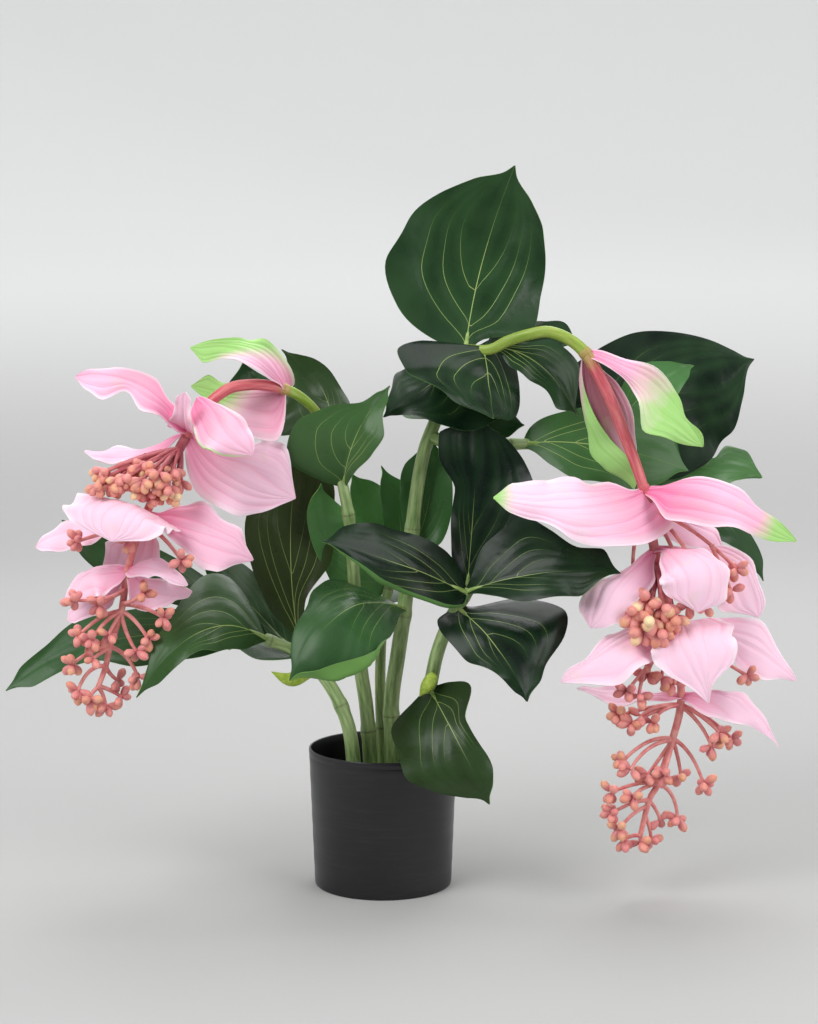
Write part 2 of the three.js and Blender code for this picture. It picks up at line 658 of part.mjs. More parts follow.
// Twigs of the hanging flower heads: start, control, end, and the buds that the end carries.
const heads = {
  left: [
    [[-182, -55, 418], [-209, -66, 418], [-249, -76, 399], 5],
    [[-212, -66, 413], [-225, -78, 405], [-239, -84, 389], 4],
    [[-182, -55, 418], [-199, -72, 413], [-226, -86, 396], 5],
    [[-182, -55, 418], [-194, -66, 413], [-212, -72, 406], 4],
    [[-182, -55, 418], [-191, -76, 404], [-216, -84, 386], 4],
    [[-182, -55, 418], [-184, -74, 408], [-199, -86, 391], 5],
    [[-182, -55, 418], [-186, -62, 410], [-194, -68, 402], 4],
    [[-182, -55, 418], [-180, -62, 407], [-181, -66, 391], 3],
    [[-182, -55, 418], [-181, -70, 400], [-188, -78, 381], 4],
    [[-224, -77, 403], [-241, -82, 401], [-251, -88, 388], 4],
    [[-218, -49, 350], [-245, -56, 344], [-275, -62, 335], 5],
    [[-218, -49, 350], [-225, -60, 345], [-231, -66, 334], 3],
    [[-218, -49, 350], [-194, -80, 342], [-179, -94, 322], 5],
    [[-235, -48, 289], [-244, -74, 281], [-277, -72, 282], 5],
    [[-235, -48, 289], [-244, -58, 284], [-256, -64, 276], 4],
    [[-238, -48, 276], [-226, -70, 278], [-216, -76, 290], 4],
    [[-238, -48, 275], [-215, -60, 275], [-199, -68, 266], 5],
    [[-239, -48, 268], [-256, -56, 269], [-275, -62, 249], 5],
    [[-239, -48, 268], [-252, -60, 264], [-263, -68, 246], 4],
    [[-239, -48, 267], [-245, -58, 258], [-249, -62, 249], 3],
    [[-239, -48, 268], [-227, -54, 265], [-214, -58, 245], 5],
    [[-239, -48, 266], [-236, -54, 250], [-225, -58, 233], 3],
    [[-250, -48, 235], [-266, -54, 235], [-283, -58, 221], 4],
    [[-250, -48, 234], [-258, -54, 231], [-264, -58, 226], 2],
    [[-250, -48, 235], [-233, -50, 231], [-224, -54, 208], 4],
    [[-254, -48, 217], [-270, -52, 220], [-279, -54, 196], 4],
    [[-254, -48, 216], [-251, -42, 207], [-245, -38, 202], 3],
    [[-261, -50, 198], [-267, -52, 194], [-269, -56, 187], 4],
    [[-261, -50, 198], [-257, -46, 191], [-255, -46, 180], 4],
    [[-261, -50, 199], [-249, -44, 194], [-242, -40, 187], 3],
  ],
  right: [
    [[243, -48, 363], [228, -86, 334], [226, -94, 286], 4],
    [[253, -48, 304], [242, -66, 278], [226, -90, 273], 4],
    [[253, -48, 304], [249, -62, 286], [238, -84, 284], 4],
    [[251, -48, 314], [246, -76, 283], [240, -94, 270], 5],
    [[251, -48, 314], [251, -74, 294], [253, -90, 280], 4],
    [[251, -48, 314], [262, -74, 290], [262, -90, 271], 4],
    [[253, -48, 304], [245, -68, 280], [234, -92, 258], 3],
    [[251, -48, 314], [253, -80, 280], [249, -94, 260], 4],
    [[243, -48, 363], [253, -114, 343], [271, -116, 279], 3],
    [[243, -48, 363], [273, -112, 342], [286, -116, 278], 2],
    [[243, -48, 363], [283, -60, 350], [321, -62, 310], 4],
    [[299, -61, 331], [308, -64, 309], [317, -64, 290], 3],
    [[267, -48, 247], [249, -64, 233], [242, -68, 215], 4],
    [[267, -48, 247], [257, -62, 227], [255, -66, 211], 4],
    [[267, -48, 247], [267, -58, 225], [267, -62, 203], 2],
    [[267, -48, 247], [251, -72, 233], [222, -84, 202], 4],
    [[242, -72, 225], [235, -80, 214], [232, -86, 197], 4],
    [[267, -48, 247], [296, -56, 234], [332, -68, 212], 3],
    [[275, -48, 181], [255, -56, 184], [216, -64, 174], 4],
    [[275, -48, 181], [251, -58, 180], [228, -70, 168], 5],
    [[275, -48, 181], [256, -60, 182], [247, -66, 169], 4],
    [[265, -52, 181], [247, -62, 183], [236, -66, 174], 3],
    [[275, -48, 181], [292, -54, 175], [309, -62, 158], 4],
    [[275, -48, 180], [295, -50, 165], [302, -60, 145], 4],
    [[275, -48, 181], [301, -42, 171], [322, -44, 149], 4],
    [[268, -48, 149], [246, -54, 155], [222, -60, 132], 5],
    [[268, -48, 148], [242, -58, 148], [228, -64, 124], 2],
    [[268, -48, 149], [286, -46, 140], [297, -48, 107], 5],
    [[268, -48, 148], [265, -56, 135], [259, -62, 120], 5],
    [[268, -48, 148], [274, -44, 132], [277, -40, 113], 3],
    [[268, -48, 148], [258, -48, 133], [245, -54, 117], 3],
    [[255, -48, 107], [238, -54, 112], [211, -58, 101], 4],
    [[255, -48, 107], [239, -56, 106], [230, -62, 98], 4],
    [[255, -48, 107], [272, -46, 100], [274, -44, 73], 4],
    [[247, -48, 91], [232, -54, 93], [213, -58, 82], 5],
    [[245, -48, 85], [233, -52, 83], [219, -58, 67], 4],
    [[239, -50, 58], [231, -52, 60], [224, -54, 55], 3],
    [[239, -50, 58], [239, -50, 54], [239, -52, 52], 3],
    [[243, -49, 77], [249, -44, 65], [250, -42, 52], 3],
    [[247, -48, 91], [254, -44, 83], [258, -42, 71], 2],
  ],
};

const colours = {
  pot: 0x2b2c30,
  soil: 0x3a2b22,
  stem: 0x7d9440,
  leaf: 0x1f4527,
  paleLeaf: 0x4f8040,
  stalk: 0xcf6f78,
  bract: 0xf0c3d6,
  head: 0xe0888a,
  leafBud: 0xa9bf45,
};

const toVector = ([x, y, z]) => new THREE.Vector3(x, y, z);
const aside = new THREE.Vector3(0.3, -1, 0.2);
const radians = THREE.MathUtils.degToRad;
const largestOf = (solid) => solid.decompose().sort((a, b) => b.volume() - a.volume())[0];
const pairOf = (value) => (Array.isArray(value) ? value : [value ?? 0, value ?? 0]);
const smooth = (t) => t * t * (3 - 2 * t);

// Numbers from 0 to 1, the same on every run.
function makeRandom(seed) {
  let state = seed;
  return () => {
    state = (state * 1664525 + 1013904223) % 4294967296;
    return state / 4294967296;
  };
}

// A closed skin as a solid, turned to face out whichever way its faces were listed.
function toSolid(points, faces) {
  const vertProperties = new Float32Array(points.flatMap((p) => [p.x, p.y, p.z]));
  const volume = faces.reduce((sum, [a, b, c]) => {
    return sum + points[a].dot(points[b].clone().cross(points[c]));
  }, 0);
  const outward = volume < 0 ? faces.map(([a, b, c]) => [a, c, b]) : faces;
  const triVerts = new Uint32Array(outward.flat());
  return new wasm.Manifold(new wasm.Mesh({ numProp: 3, vertProperties, triVerts }));
}

// Skin over rings of points. The ends are closed flat, and an end ring of one point closes to it.
function skin(rings) {
  const points = rings.flat();
  const starts = [];
  let count = 0;
  for (const ring of rings) {
    starts.push(count);
    count += ring.length;
  }
  const faces = [];
  for (let i = 0; i + 1 < rings.length; i += 1) {
    const here = rings[i].length;
    const next = rings[i + 1].length;
    for (let j = 0; j < Math.max(here, next); j += 1) {
      const a = starts[i] + (j % here);
      const b = starts[i] + ((j + 1) % here);
      const c = starts[i + 1] + ((j + 1) % next);
      const d = starts[i + 1] + (j % next);
      if (here > 1) faces.push([a, b, c]);
      if (next > 1) faces.push([a, c, d]);
    }
  }
  const last = starts.length - 1;
  for (let j = 1; j + 1 < rings[0].length; j += 1) faces.push([0, j + 1, j]);
  for (let j = 1; j + 1 < rings[last].length; j += 1) {
    faces.push([starts[last], starts[last] + j, starts[last] + j + 1]);
  }
  return toSolid(points, faces);
}

// Rings of a round limb along a curve, with the section carried along it without a twist.
function ringsAlong(curve, radiusAt, steps, sides) {
  const rings = [];
  const tangent = curve.getTangent(0);
  const across = aside.clone().cross(tangent).normalize();
  for (let i = 0; i <= steps; i += 1) {
    const t = i / steps;
    const centre = curve.getPoint(t);
    const along = curve.getTangent(t);
    across.addScaledVector(along, -across.dot(along)).normalize();
    const up = along.clone().cross(across);
    const ring = [];
    for (let k = 0; k < sides; k += 1) {
      const angle = (2 * Math.PI * k) / sides;
      const spoke = across.clone().multiplyScalar(Math.cos(angle)).addScaledVector(up, Math.sin(angle));
      ring.push(centre.clone().addScaledVector(spoke, radiusAt(t)));
    }
    rings.push(ring);
  }
  return rings;
}

function radiusFrom(list) {
  return (t) => {
    const place = t * (list.length - 1);
    const i = Math.min(Math.floor(place), list.length - 2);
    return THREE.MathUtils.lerp(list[i], list[i + 1], place - i);
  };
}

// A stem's solid. With swell it is grown on all sides, ends included, to cut its neighbours clear of it.
function limbSolid({ path, radii, steps, sides }, swell = 0) {
  const points = path.map(toVector);
  const last = points.length - 1;
  const headway = points[0].clone().sub(points[1]).setLength(swell);
  const lead = points[last].clone().sub(points[last - 1]).setLength(swell);
  points[0].add(headway);
  points[last].add(lead);
  const curve = new THREE.CatmullRomCurve3(points, false, "catmullrom", 0.5);
  const radiusAt = radiusFrom(radii);
  return skin(ringsAlong(curve, (t) => radiusAt(t) + swell, steps, sides));
}

// Monotone cubic through the stations, for the half width of a blade.
function halfWidth(widths, u) {
  const x = stations;
  const slopes = x.slice(1).map((value, i) => (widths[i + 1] - widths[i]) / (value - x[i]));
  const slopeAt = (i) => {
    if (i === 0) return slopes[0];
    if (i === x.length - 1) return slopes[i - 1];
    if (slopes[i - 1] * slopes[i] <= 0) return 0;
    const before = x[i] - x[i - 1];
    const after = x[i + 1] - x[i];
    const resistance = (2 * after + before) / slopes[i - 1] + (after + 2 * before) / slopes[i];
    return (3 * (before + after)) / resistance;
  };
  let i = 0;
  while (i < x.length - 2 && u > x[i + 1]) i += 1;
  const step = x[i + 1] - x[i];
  const t = (u - x[i]) / step;
  const rise = widths[i] * (1 - smooth(t)) + widths[i + 1] * smooth(t);
  return rise + step * t * (1 - t) * (slopeAt(i) * (1 - t) - slopeAt(i + 1) * t);
}

// Where a half's section has got to at q of its width: out from the rib, and up from the leaf's plane.
function sectionAt(q, fold, curl, hem) {
  const slices = 16;
  let out = 0;
  let up = 0;
  for (let i = 0; i < slices; i += 1) {
    const s = (q * (i + 0.5)) / slices;
    const rolled = smooth(THREE.MathUtils.clamp((s - hemStart) / (1 - hemStart), 0, 1));
    const angle = fold + curl * s + hem * rolled;
    out += (Math.cos(angle) * q) / slices;
    up += (Math.sin(angle) * q) / slices;
  }
  return [out, up];
}

// Middle line, tangent, face normal and side of a blade, with the face carried from mid-rib to both ends.
function ribFrames({ rib, face, twist = 0 }, us) {
  const [base, middle, tip] = rib.map(toVector);
  const control = middle.clone().multiplyScalar(2).addScaledVector(base, -0.5).addScaledVector(tip, -0.5);
  const curve = new THREE.QuadraticBezierCurve3(base, control, tip);
  const fine = 40;
  const normals = [];
  const square = (normal, t) => {
    const tangent = curve.getTangent(t);
    return normal.clone().addScaledVector(tangent, -normal.dot(tangent)).normalize();
  };
  normals[fine / 2] = square(toVector(face), 0.5);
  for (let i = fine / 2 + 1; i <= fine; i += 1) normals[i] = square(normals[i - 1], i / fine);
  for (let i = fine / 2 - 1; i >= 0; i -= 1) normals[i] = square(normals[i + 1], i / fine);
  return us.map((u) => {
    const i = Math.min(Math.floor(u * fine), fine - 1);
    const normal = square(normals[i].clone().lerp(normals[i + 1], u * fine - i), u);
    const tangent = curve.getTangent(u);
    normal.applyAxisAngle(tangent, radians(twist) * (u - 0.5));
    return { centre: curve.getPoint(u), tangent, normal, side: tangent.clone().cross(normal) };
  });
}

const stripEdges = { 2: [1], 4: [0.55, 1], 6: [0.4, 0.76, 1] };

// A narrow blade needs fewer strips than a broad one, and so does a plain one.
function gridFor(blade, broad, narrow) {
  const widest = blade.plain ? 0 : Math.max(...blade.left) + Math.max(...blade.right);
  if (blade.hem) return { ...broad, strips: 6 };
  return widest < narrowBelow ? narrow : broad;
}

// A leaf or bract: a thin waved shell over the rib, split into triangles alike on both faces.
function bladeSolid(blade, { steps, strips }, { thickness, foot }) {
  const { wave = 0, waves = 2, phase = 0, lobe = 0.3 } = blade;
  const lobeReach = 0.4;
  const us = Array.from({ length: steps + 1 }, (_, i) => {
    const even = i / steps;
    return 0.5 * even + 0.25 * (1 - Math.cos(Math.PI * even));
  });
  const frames = ribFrames(blade, us);
  const half = strips / 2;
  const grid = frames.map((frame, i) => {
    const u = us[i];
    const calm = Math.sqrt(Math.max(0, Math.sin(Math.PI * u)));
    const clasp = smooth(Math.max(0, 1 - u / lobeReach));
    const row = [];
    row[half] = frame.centre;
    for (const [k, sign] of [-1, 1].entries()) {
      const width = halfWidth([foot, ...(sign < 0 ? blade.left : blade.right), tipWidth], u);
      const bend = ["fold", "curl", "hem"].map((name) => radians(pairOf(blade[name])[k]));
      const swing = Math.sin(2 * Math.PI * (waves * u + phase + (sign < 0 ? leftPhase : 0)));
      stripEdges[strips].forEach((q, step) => {
        const [out, up] = sectionAt(q, ...bend);
        const lift = up * width + wave * calm * swing * q ** 1.6;
        row[half + sign * (step + 1)] = frame.centre
          .clone()
          .addScaledVector(frame.side, sign * out * width)
          .addScaledVector(frame.normal, lift)
          .addScaledVector(frame.tangent, -lobe * q * width * clasp);
      });
    }
    return row;
  });
  const clampedAt = (i, j) => grid[THREE.MathUtils.clamp(i, 0, steps)][THREE.MathUtils.clamp(j, 0, strips)];
  const points = [];
  for (let i = 0; i <= steps; i += 1) {
    for (let j = 0; j <= strips; j += 1) {
      const along = clampedAt(i + 1, j).clone().sub(clampedAt(i - 1, j));
      const across = clampedAt(i, j + 1).clone().sub(clampedAt(i, j - 1));
      const lift = along.cross(across).setLength(thickness / 2);
      points.push(grid[i][j].clone().add(lift), grid[i][j].clone().sub(lift));
    }
  }
  const at = (i, j, layer) => (i * (strips + 1) + j) * 2 + layer;
  const faces = [];
  const quad = (a, b, c, d) => faces.push([a, b, c], [a, c, d]);
  for (let i = 0; i < steps; i += 1) {
    for (let j = 0; j < strips; j += 1) {
      faces.push([at(i, j, 0), at(i, j + 1, 0), at(i + 1, j + 1, 0)]);
      faces.push([at(i, j, 0), at(i + 1, j + 1, 0), at(i + 1, j, 0)]);
      faces.push([at(i, j, 1), at(i + 1, j + 1, 1), at(i, j + 1, 1)]);
      faces.push([at(i, j, 1), at(i + 1, j, 1), at(i + 1, j + 1, 1)]);
    }
    quad(at(i, 0, 0), at(i + 1, 0, 0), at(i + 1, 0, 1), at(i, 0, 1));
    quad(at(i, strips, 0), at(i, strips, 1), at(i + 1, strips, 1), at(i + 1, strips, 0));
  }
  for (let j = 0; j < strips; j += 1) {
    quad(at(0, j, 0), at(0, j, 1), at(0, j + 1, 1), at(0, j + 1, 0));
    quad(at(steps, j, 0), at(steps, j + 1, 0), at(steps, j + 1, 1), at(steps, j, 1));
  }
  return toSolid(points, faces);
}

function geometryOf(solid) {
  const { numProp, vertProperties, triVerts } = solid.getMesh();
  const positions = new Float32Array((vertProperties.length / numProp) * 3);
  for (let i = 0; i < positions.length / 3; i += 1) {
    positions.set(vertProperties.subarray(i * numProp, i * numProp + 3), i * 3);
  }
  const geometry = new THREE.BufferGeometry();
  geometry.setAttribute("position", new THREE.BufferAttribute(positions, 3));
  geometry.setIndex(new THREE.BufferAttribute(new Uint32Array(triVerts), 1));
  geometry.computeVertexNormals();
  return geometry;
}

const plant = new THREE.Group();
plant.name = "medinilla";

function add(name, solid, colour, roughness = 0.5) {
  const material = new THREE.MeshStandardMaterial({ color: colour, roughness, metalness: 0 });
  const mesh = new THREE.Mesh(geometryOf(solid), material);
  mesh.name = name;
  plant.add(mesh);
}

// Stems stand first: everything that meets them is cut to them.
const limbSolids = {};
const limbCutters = {};
for (const [name, limb] of Object.entries(limbs)) {
  limbSolids[name] = limbSolid(limb);
  limbCutters[name] = limbSolid(limb, clearance);
}

// A solid of revolution about the Z axis from a profile of radius and height.
function turned(profile, sides) {
  const lathe = new THREE.LatheGeometry(
    profile.map(([radius, height]) => new THREE.Vector2(radius, height)),
    sides,
  );
  const position = lathe.getAttribute("position");
  const rows = profile.length;
  const rings = [];
  for (let row = 0; row < rows; row += 1) {
    const count = profile[row][0] === 0 ? 1 : sides;
    const ring = [];
    for (let side = 0; side < count; side += 1) {
      const i = side * rows + row;
      ring.push(new THREE.Vector3(position.getX(i), -position.getZ(i), position.getY(i)));
    }
    rings.push(ring);
  }
  return skin(rings);
}

function makePot() {
  const innerRim = pot.rimRadius - pot.wall;
  const innerFoot = pot.footRadius - pot.wall;
  const lip = pot.wall / 3;
  return turned(
    [
      [0, 0],
      [pot.footRadius - pot.chamfer, 0],
      [pot.footRadius, pot.chamfer],
      [pot.rimRadius, pot.height - lip],
      [pot.rimRadius - lip, pot.height],
      [innerRim + lip, pot.height],
      [innerRim, pot.height - lip],
      [innerFoot, pot.floor],
      [0, pot.floor],
    ],
    pot.sides,
  );
}

// The soil fills the pot to a low crown, with a plain blind hole for each stem that stands in it.
function makeSoil() {
  const taper = (pot.rimRadius - pot.footRadius) / pot.height;
  const radiusAt = (z) => pot.footRadius - pot.wall + taper * z - 2 * clearance;
  const bottom = pot.floor + clearance;
  let body = turned(
    [
      [0, bottom],
      [radiusAt(bottom), bottom],
      [radiusAt(soil.edge), soil.edge],
      [soil.shoulderRadius, soil.shoulder],
      [0, soil.crown],
    ],
    soil.sides,
  );
  for (const [name, limb] of Object.entries(limbs)) {
    if (limb.path[0][2] < soil.edge) body = body.subtract(limbCutters[name]);
  }
  return body;
}

// A twig that ends in a knob with buds: the knob is an eight-sided lump whose first face meets the twig.
// Each bud is a drop drawn out of one of its other faces, the ones that look ahead first.
function twigWithBuds([start, control, end, buds], random) {
  const curve = new THREE.QuadraticBezierCurve3(toVector(start), toVector(control), toVector(end));
  const radiusAt = (t) => THREE.MathUtils.lerp(twig.rootRadius, twig.tipRadius, t);
  const rings = ringsAlong(curve, radiusAt, twig.steps, 3);
  const tip = toVector(end);
  const axis = curve.getTangent(1);
  const spokes = rings.pop().map((point) => point.sub(tip).projectOnPlane(axis).normalize());
  const ringOfKnob = (side) => {
    return spokes.map((spoke) => {
      return tip
        .clone()
        .addScaledVector(axis, side * bud.knob * Math.sqrt(1 / 3))
        .addScaledVector(spoke, -side * bud.knob * Math.sqrt(2 / 3));
    });
  };
  rings.push(ringOfKnob(-1));
  const points = [...rings.flat(), ...ringOfKnob(1)];
  const faces = [[0, 2, 1]];
  for (let i = 0; i + 1 < rings.length; i += 1) {
    for (let k = 0; k < 3; k += 1) {
      const next = (k + 1) % 3;
      faces.push([3 * i + k, 3 * i + next, 3 * i + 3 + next], [3 * i + k, 3 * i + 3 + next, 3 * i + 3 + k]);
    }
  }
  const back = [0, 1, 2].map((k) => points.length - 6 + k);
  const front = [0, 1, 2].map((k) => points.length - 3 + k);
  const sites = [front];
  for (let k = 0; k < 3; k += 1) sites.push([front[k], back[(k + 2) % 3], front[(k + 1) % 3]]);
  for (let k = 0; k < 3; k += 1) sites.push([back[k], back[(k + 1) % 3], front[(k + 2) % 3]]);
  const count = Math.max(2, Math.round(buds * bud.share));
  const first = random() < 0.5 ? 0 : 1;
  sites.forEach((site, i) => {
    if (i < first || i >= first + count) {
      faces.push(site);
      return;
    }
    const size = 0.92 + 0.16 * random();
    const root = new THREE.Vector3();
    site.forEach((corner) => root.addScaledVector(points[corner], 1 / 3));
    const along = root.clone().sub(tip).normalize();
    const belly = site.map((corner) => {
      const spoke = points[corner].clone().sub(root).setLength(bud.radius * size);
      points.push(root.clone().addScaledVector(along, bud.length * bud.belly * size).add(spoke));
      return points.length - 1;
    });
    points.push(root.clone().addScaledVector(along, bud.length * size));
    for (let k = 0; k < 3; k += 1) {
      const next = (k + 1) % 3;
      faces.push([site[k], site[next], belly[next]], [site[k], belly[next], belly[k]]);
      faces.push([belly[k], belly[next], points.length - 1]);
    }
  });
  return toSolid(points, faces);
}

// A hanging head: its stalk, its twigs and their buds, grown into one.
function makeHead(rachis, twigs, seed) {
  const random = makeRandom(seed);
  const parts = twigs.map((row) => twigWithBuds(row, random));
  return largestOf(parts.reduce((whole, part) => whole.add(part), limbSolids[rachis]));
}

// Bracts of one whorl, joined by a collar round the stalk and cut clear of it.
function makeWhorl({ stalk, at, trims = [stalk], bracts }) {
  const limb = limbs[stalk];
  const curve = new THREE.CatmullRomCurve3(limb.path.map(toVector), false, "catmullrom", 0.5);
  const reach = collar.length / 2;
  const centre = curve.getPoint(at);
  const along = curve.getTangent(at);
  const line = new THREE.LineCurve3(
    centre.clone().addScaledVector(along, -reach),
    centre.clone().addScaledVector(along, reach),
  );
  const radius = radiusFrom(limb.radii)(at) + clearance + collar.wall;
  let whole = skin(ringsAlong(line, () => radius, 1, collar.sides));
  for (const bract of Object.values(bracts)) {
    const grid = gridFor(bract, bractMake.broad, bractMake.narrow);
    whole = whole.add(bladeSolid({ lobe: 0.1, ...bract }, grid, bractMake));
  }
  return trims.reduce((body, name) => body.subtract(limbCutters[name]), whole);
}

add("pot", makePot(), colours.pot, 0.45);
add("soil", makeSoil(), colours.soil, 0.95);

// A stalk that springs from a stem is cut to it.
const carriers = { leftPeduncle: "stemMid", rightPeduncle: "stemTall", branchRight: "stemTall" };
for (const [name, solid] of Object.entries(limbSolids)) {
  if (name.endsWith("Rachis")) continue;
  const whole = carriers[name] ? solid.subtract(limbCutters[carriers[name]]) : solid;
  add(name, whole, name.endsWith("Peduncle") ? colours.stalk : colours.stem);
}

// A leaf starts inside its stem and is cut to it, and what the stem parts from the blade is left out.
for (const [name, leaf] of Object.entries(leaves)) {
  const whole = bladeSolid(leaf, gridFor(leaf, leafMake.broad, leafMake.narrow), leafMake);
  const cut = [leaf.stem].flat().reduce((body, stem) => body.subtract(limbCutters[stem]), whole);
  add(`${name}Leaf`, largestOf(cut), colours.leaf, 0.35);
}

for (const [name, row] of Object.entries(leafBuds)) {
  const whole = limbSolid({ ...row, steps: 4, sides: 5 });
  add(name, whole.subtract(limbCutters[row.stem]), colours.leafBud);
}

for (const [name, whorl] of Object.entries(whorls)) add(name, makeWhorl(whorl), colours.bract, 0.6);

for (const side of ["left", "right"]) {
  const head = makeHead(`${side}Rachis`, heads[side], side === "left" ? 7 : 11);
  add(`${side}Head`, head.subtract(limbCutters[`${side}Peduncle`]), colours.head);
}

export default plant;
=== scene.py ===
# A potted medinilla: glossy leaves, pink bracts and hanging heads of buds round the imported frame.
import math
import random
from functools import partial

import bpy
import numpy as np
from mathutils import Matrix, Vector


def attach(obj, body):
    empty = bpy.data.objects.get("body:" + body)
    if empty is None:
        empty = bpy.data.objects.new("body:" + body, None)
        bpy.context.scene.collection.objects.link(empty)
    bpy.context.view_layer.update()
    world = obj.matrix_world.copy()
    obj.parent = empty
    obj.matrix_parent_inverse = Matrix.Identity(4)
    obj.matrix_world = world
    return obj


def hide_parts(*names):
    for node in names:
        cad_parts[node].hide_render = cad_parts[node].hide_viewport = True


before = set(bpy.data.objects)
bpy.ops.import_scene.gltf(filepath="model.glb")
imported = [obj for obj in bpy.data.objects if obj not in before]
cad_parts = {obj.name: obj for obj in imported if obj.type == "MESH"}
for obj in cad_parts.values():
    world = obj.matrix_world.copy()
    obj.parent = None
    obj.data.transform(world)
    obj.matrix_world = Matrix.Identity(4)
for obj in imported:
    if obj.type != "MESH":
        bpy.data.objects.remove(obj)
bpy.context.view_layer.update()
mm = 0.001


def linearFrom(hexColour):
    shares = [int(hexColour[i:i + 2], 16) / 255 for i in (1, 3, 5)]
    return (*(c / 12.92 if c <= 0.04045 else ((c + 0.055) / 1.055) ** 2.4 for c in shares), 1.0)


# Gives a node its options, values, hex colours and links.
def setNode(node, settings):
    for key, value in settings.items():
        if isinstance(value, bpy.types.NodeSocket):
            node.id_data.links.new(value, node.inputs[key])
        elif isinstance(key, int) or key in node.inputs:
            node.inputs[key].default_value = linearFrom(value) if isinstance(value, str) else value
        else:
            setattr(node, key, value)


# Adds one shader node with its settings and links, and gives the output asked for. Mixes are of colours.
def addNode(tree, kind, output, settings=None):
    node = tree.nodes.new("ShaderNode" + kind)
    if kind == "Mix":
        node.data_type = "RGBA"
    setNode(node, settings or {})
    return node.outputs[output]


# A principled surface: the material, its shader and the function that adds nodes to it.
def newMaterial(name):
    material = bpy.data.materials.new(name)
    material.use_nodes = True
    tree = material.node_tree
    return material, tree.nodes["Principled BSDF"], partial(addNode, tree)


def setStops(ramp, stops):
    while len(ramp.elements) < len(stops):
        ramp.elements.new(0.5)
    for element, (at, tint) in zip(ramp.elements, stops):
        element.position, element.color = at, linearFrom(tint)


def unit(rows):
    return rows / np.maximum(np.linalg.norm(rows, axis=-1, keepdims=True), 1e-9)


def smooth(t):
    t = np.clip(t, 0, 1)
    return t * t * (3 - 2 * t)


def lengthOf(line):
    return np.linalg.norm(np.diff(line, axis=0), axis=1).sum()


# Reads rows of vectors, which stand at rising places, at other places.
def readAt(shares, places, rows):
    return np.stack([np.interp(shares, places, rows[:, k]) for k in range(3)], 1)


def spread(values, shares):
    return np.interp(shares, np.linspace(0, 1, len(values)), values)


def pairOf(value):
    return tuple(value) if isinstance(value, (tuple, list)) else (value, value)


# Points in millimetres, faces, the material of each face and values on the points.
def growth(points, faces, slots, values):
    points = np.asarray(points, float).reshape(-1, 3)
    filled = {}
    for key, value in values.items():
        value = np.asarray(value, float)
        constant = value.ndim == 0 or len(value) != len(points)
        filled[key] = np.broadcast_to(value, (len(points), *value.shape)) if constant else value
    slots = [slots] * len(faces) if isinstance(slots, int) else list(slots)
    return {"points": points, "faces": faces, "slots": slots, "values": filled}


def joined(parts):
    starts = np.cumsum([0] + [len(part["points"]) for part in parts])
    shapes = {key: value.shape[1:] for part in parts for key, value in part["values"].items()}
    values = {}
    for key, shape in shapes.items():
        blank = [part["values"].get(key, np.zeros((len(part["points"]), *shape))) for part in parts]
        values[key] = np.concatenate(blank)
    return {
        "points": np.concatenate([part["points"] for part in parts]),
        "faces": [[i + s for i in face] for part, s in zip(parts, starts) for face in part["faces"]],
        "slots": [slot for part in parts for slot in part["slots"]],
        "values": values,
    }


def addObject(name, whole, materials):
    mesh = bpy.data.meshes.new(name)
    mesh.from_pydata((whole["points"] * mm).tolist(), [], whole["faces"])
    mesh.polygons.foreach_set("material_index", whole["slots"])
    for key, value in whole["values"].items():
        kind, field = ("FLOAT_VECTOR", "vector") if value.ndim == 2 else ("FLOAT", "value")
        mesh.attributes.new(key, kind, "POINT").data.foreach_set(field, value.astype(np.float32).ravel())
    for material in materials:
        mesh.materials.append(material)
    mesh.update()
    mesh.shade_smooth()
    placed = bpy.data.objects.new(name, mesh)
    bpy.context.scene.collection.objects.link(placed)
    return placed


# One finished piece of the plant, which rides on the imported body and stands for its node.
def makePiece(name, parts, materials, node, sharpFrom=50):
    piece = addObject(name, joined(parts), materials)
    piece.data.set_sharp_from_angle(angle=math.radians(sharpFrom))
    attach(piece, "root")
    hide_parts(node)


def pieceName(kind, name):
    return kind + name[0].upper() + name[1:]


# Weights of a cubic at t: the two ends and the slopes there.
def cubicWeights(t):
    return 2 * t**3 - 3 * t**2 + 1, t**3 - 2 * t**2 + t, 3 * t**2 - 2 * t**3, t**3 - t**2


# Smooth line through points, read at shares from 0 to 1.
def lineThrough(points, shares):
    points = np.asarray(points, float)
    ends = np.concatenate([[2 * points[0] - points[1]], points, [2 * points[-1] - points[-2]]])
    place = np.asarray(shares, float) * (len(points) - 1)
    i = np.minimum(place.astype(int), len(points) - 2)
    before, here, there, after = (ends[i + k] for k in range(4))
    a, b, c, d = cubicWeights((place - i)[:, None])
    return a * here + b * (there - before) / 2 + c * there + d * (after - here) / 2


def bowThrough(start, control, end, shares):
    t = np.asarray(shares, float)[:, None]
    start, control, end = (np.asarray(p, float) for p in (start, control, end))
    return (1 - t) ** 2 * start + 2 * t * (1 - t) * control + t**2 * end


# Faces between rings of point numbers. A ring of one number closes an end.
def facesBetween(rings):
    faces = []
    for low, high in zip(rings, rings[1:]):
        sides = max(len(low), len(high))
        for k in range(sides):
            n = (k + 1) % sides
            if len(low) == 1:
                faces.append([low[0], high[n], high[k]])
            elif len(high) == 1:
                faces.append([low[k], low[n], high[0]])
            else:
                faces.append([low[k], low[n], high[n], high[k]])
    return faces


# Numbers of the points in each ring, for rings of the given sizes laid one after another.
def ringsOf(sizes):
    starts = np.cumsum([0, *sizes]).tolist()
    return [list(range(start, start + size)) for start, size in zip(starts, sizes)]


stalkEnd = 0.35  # how far a stalk's closed ends bulge, as a share of their radius


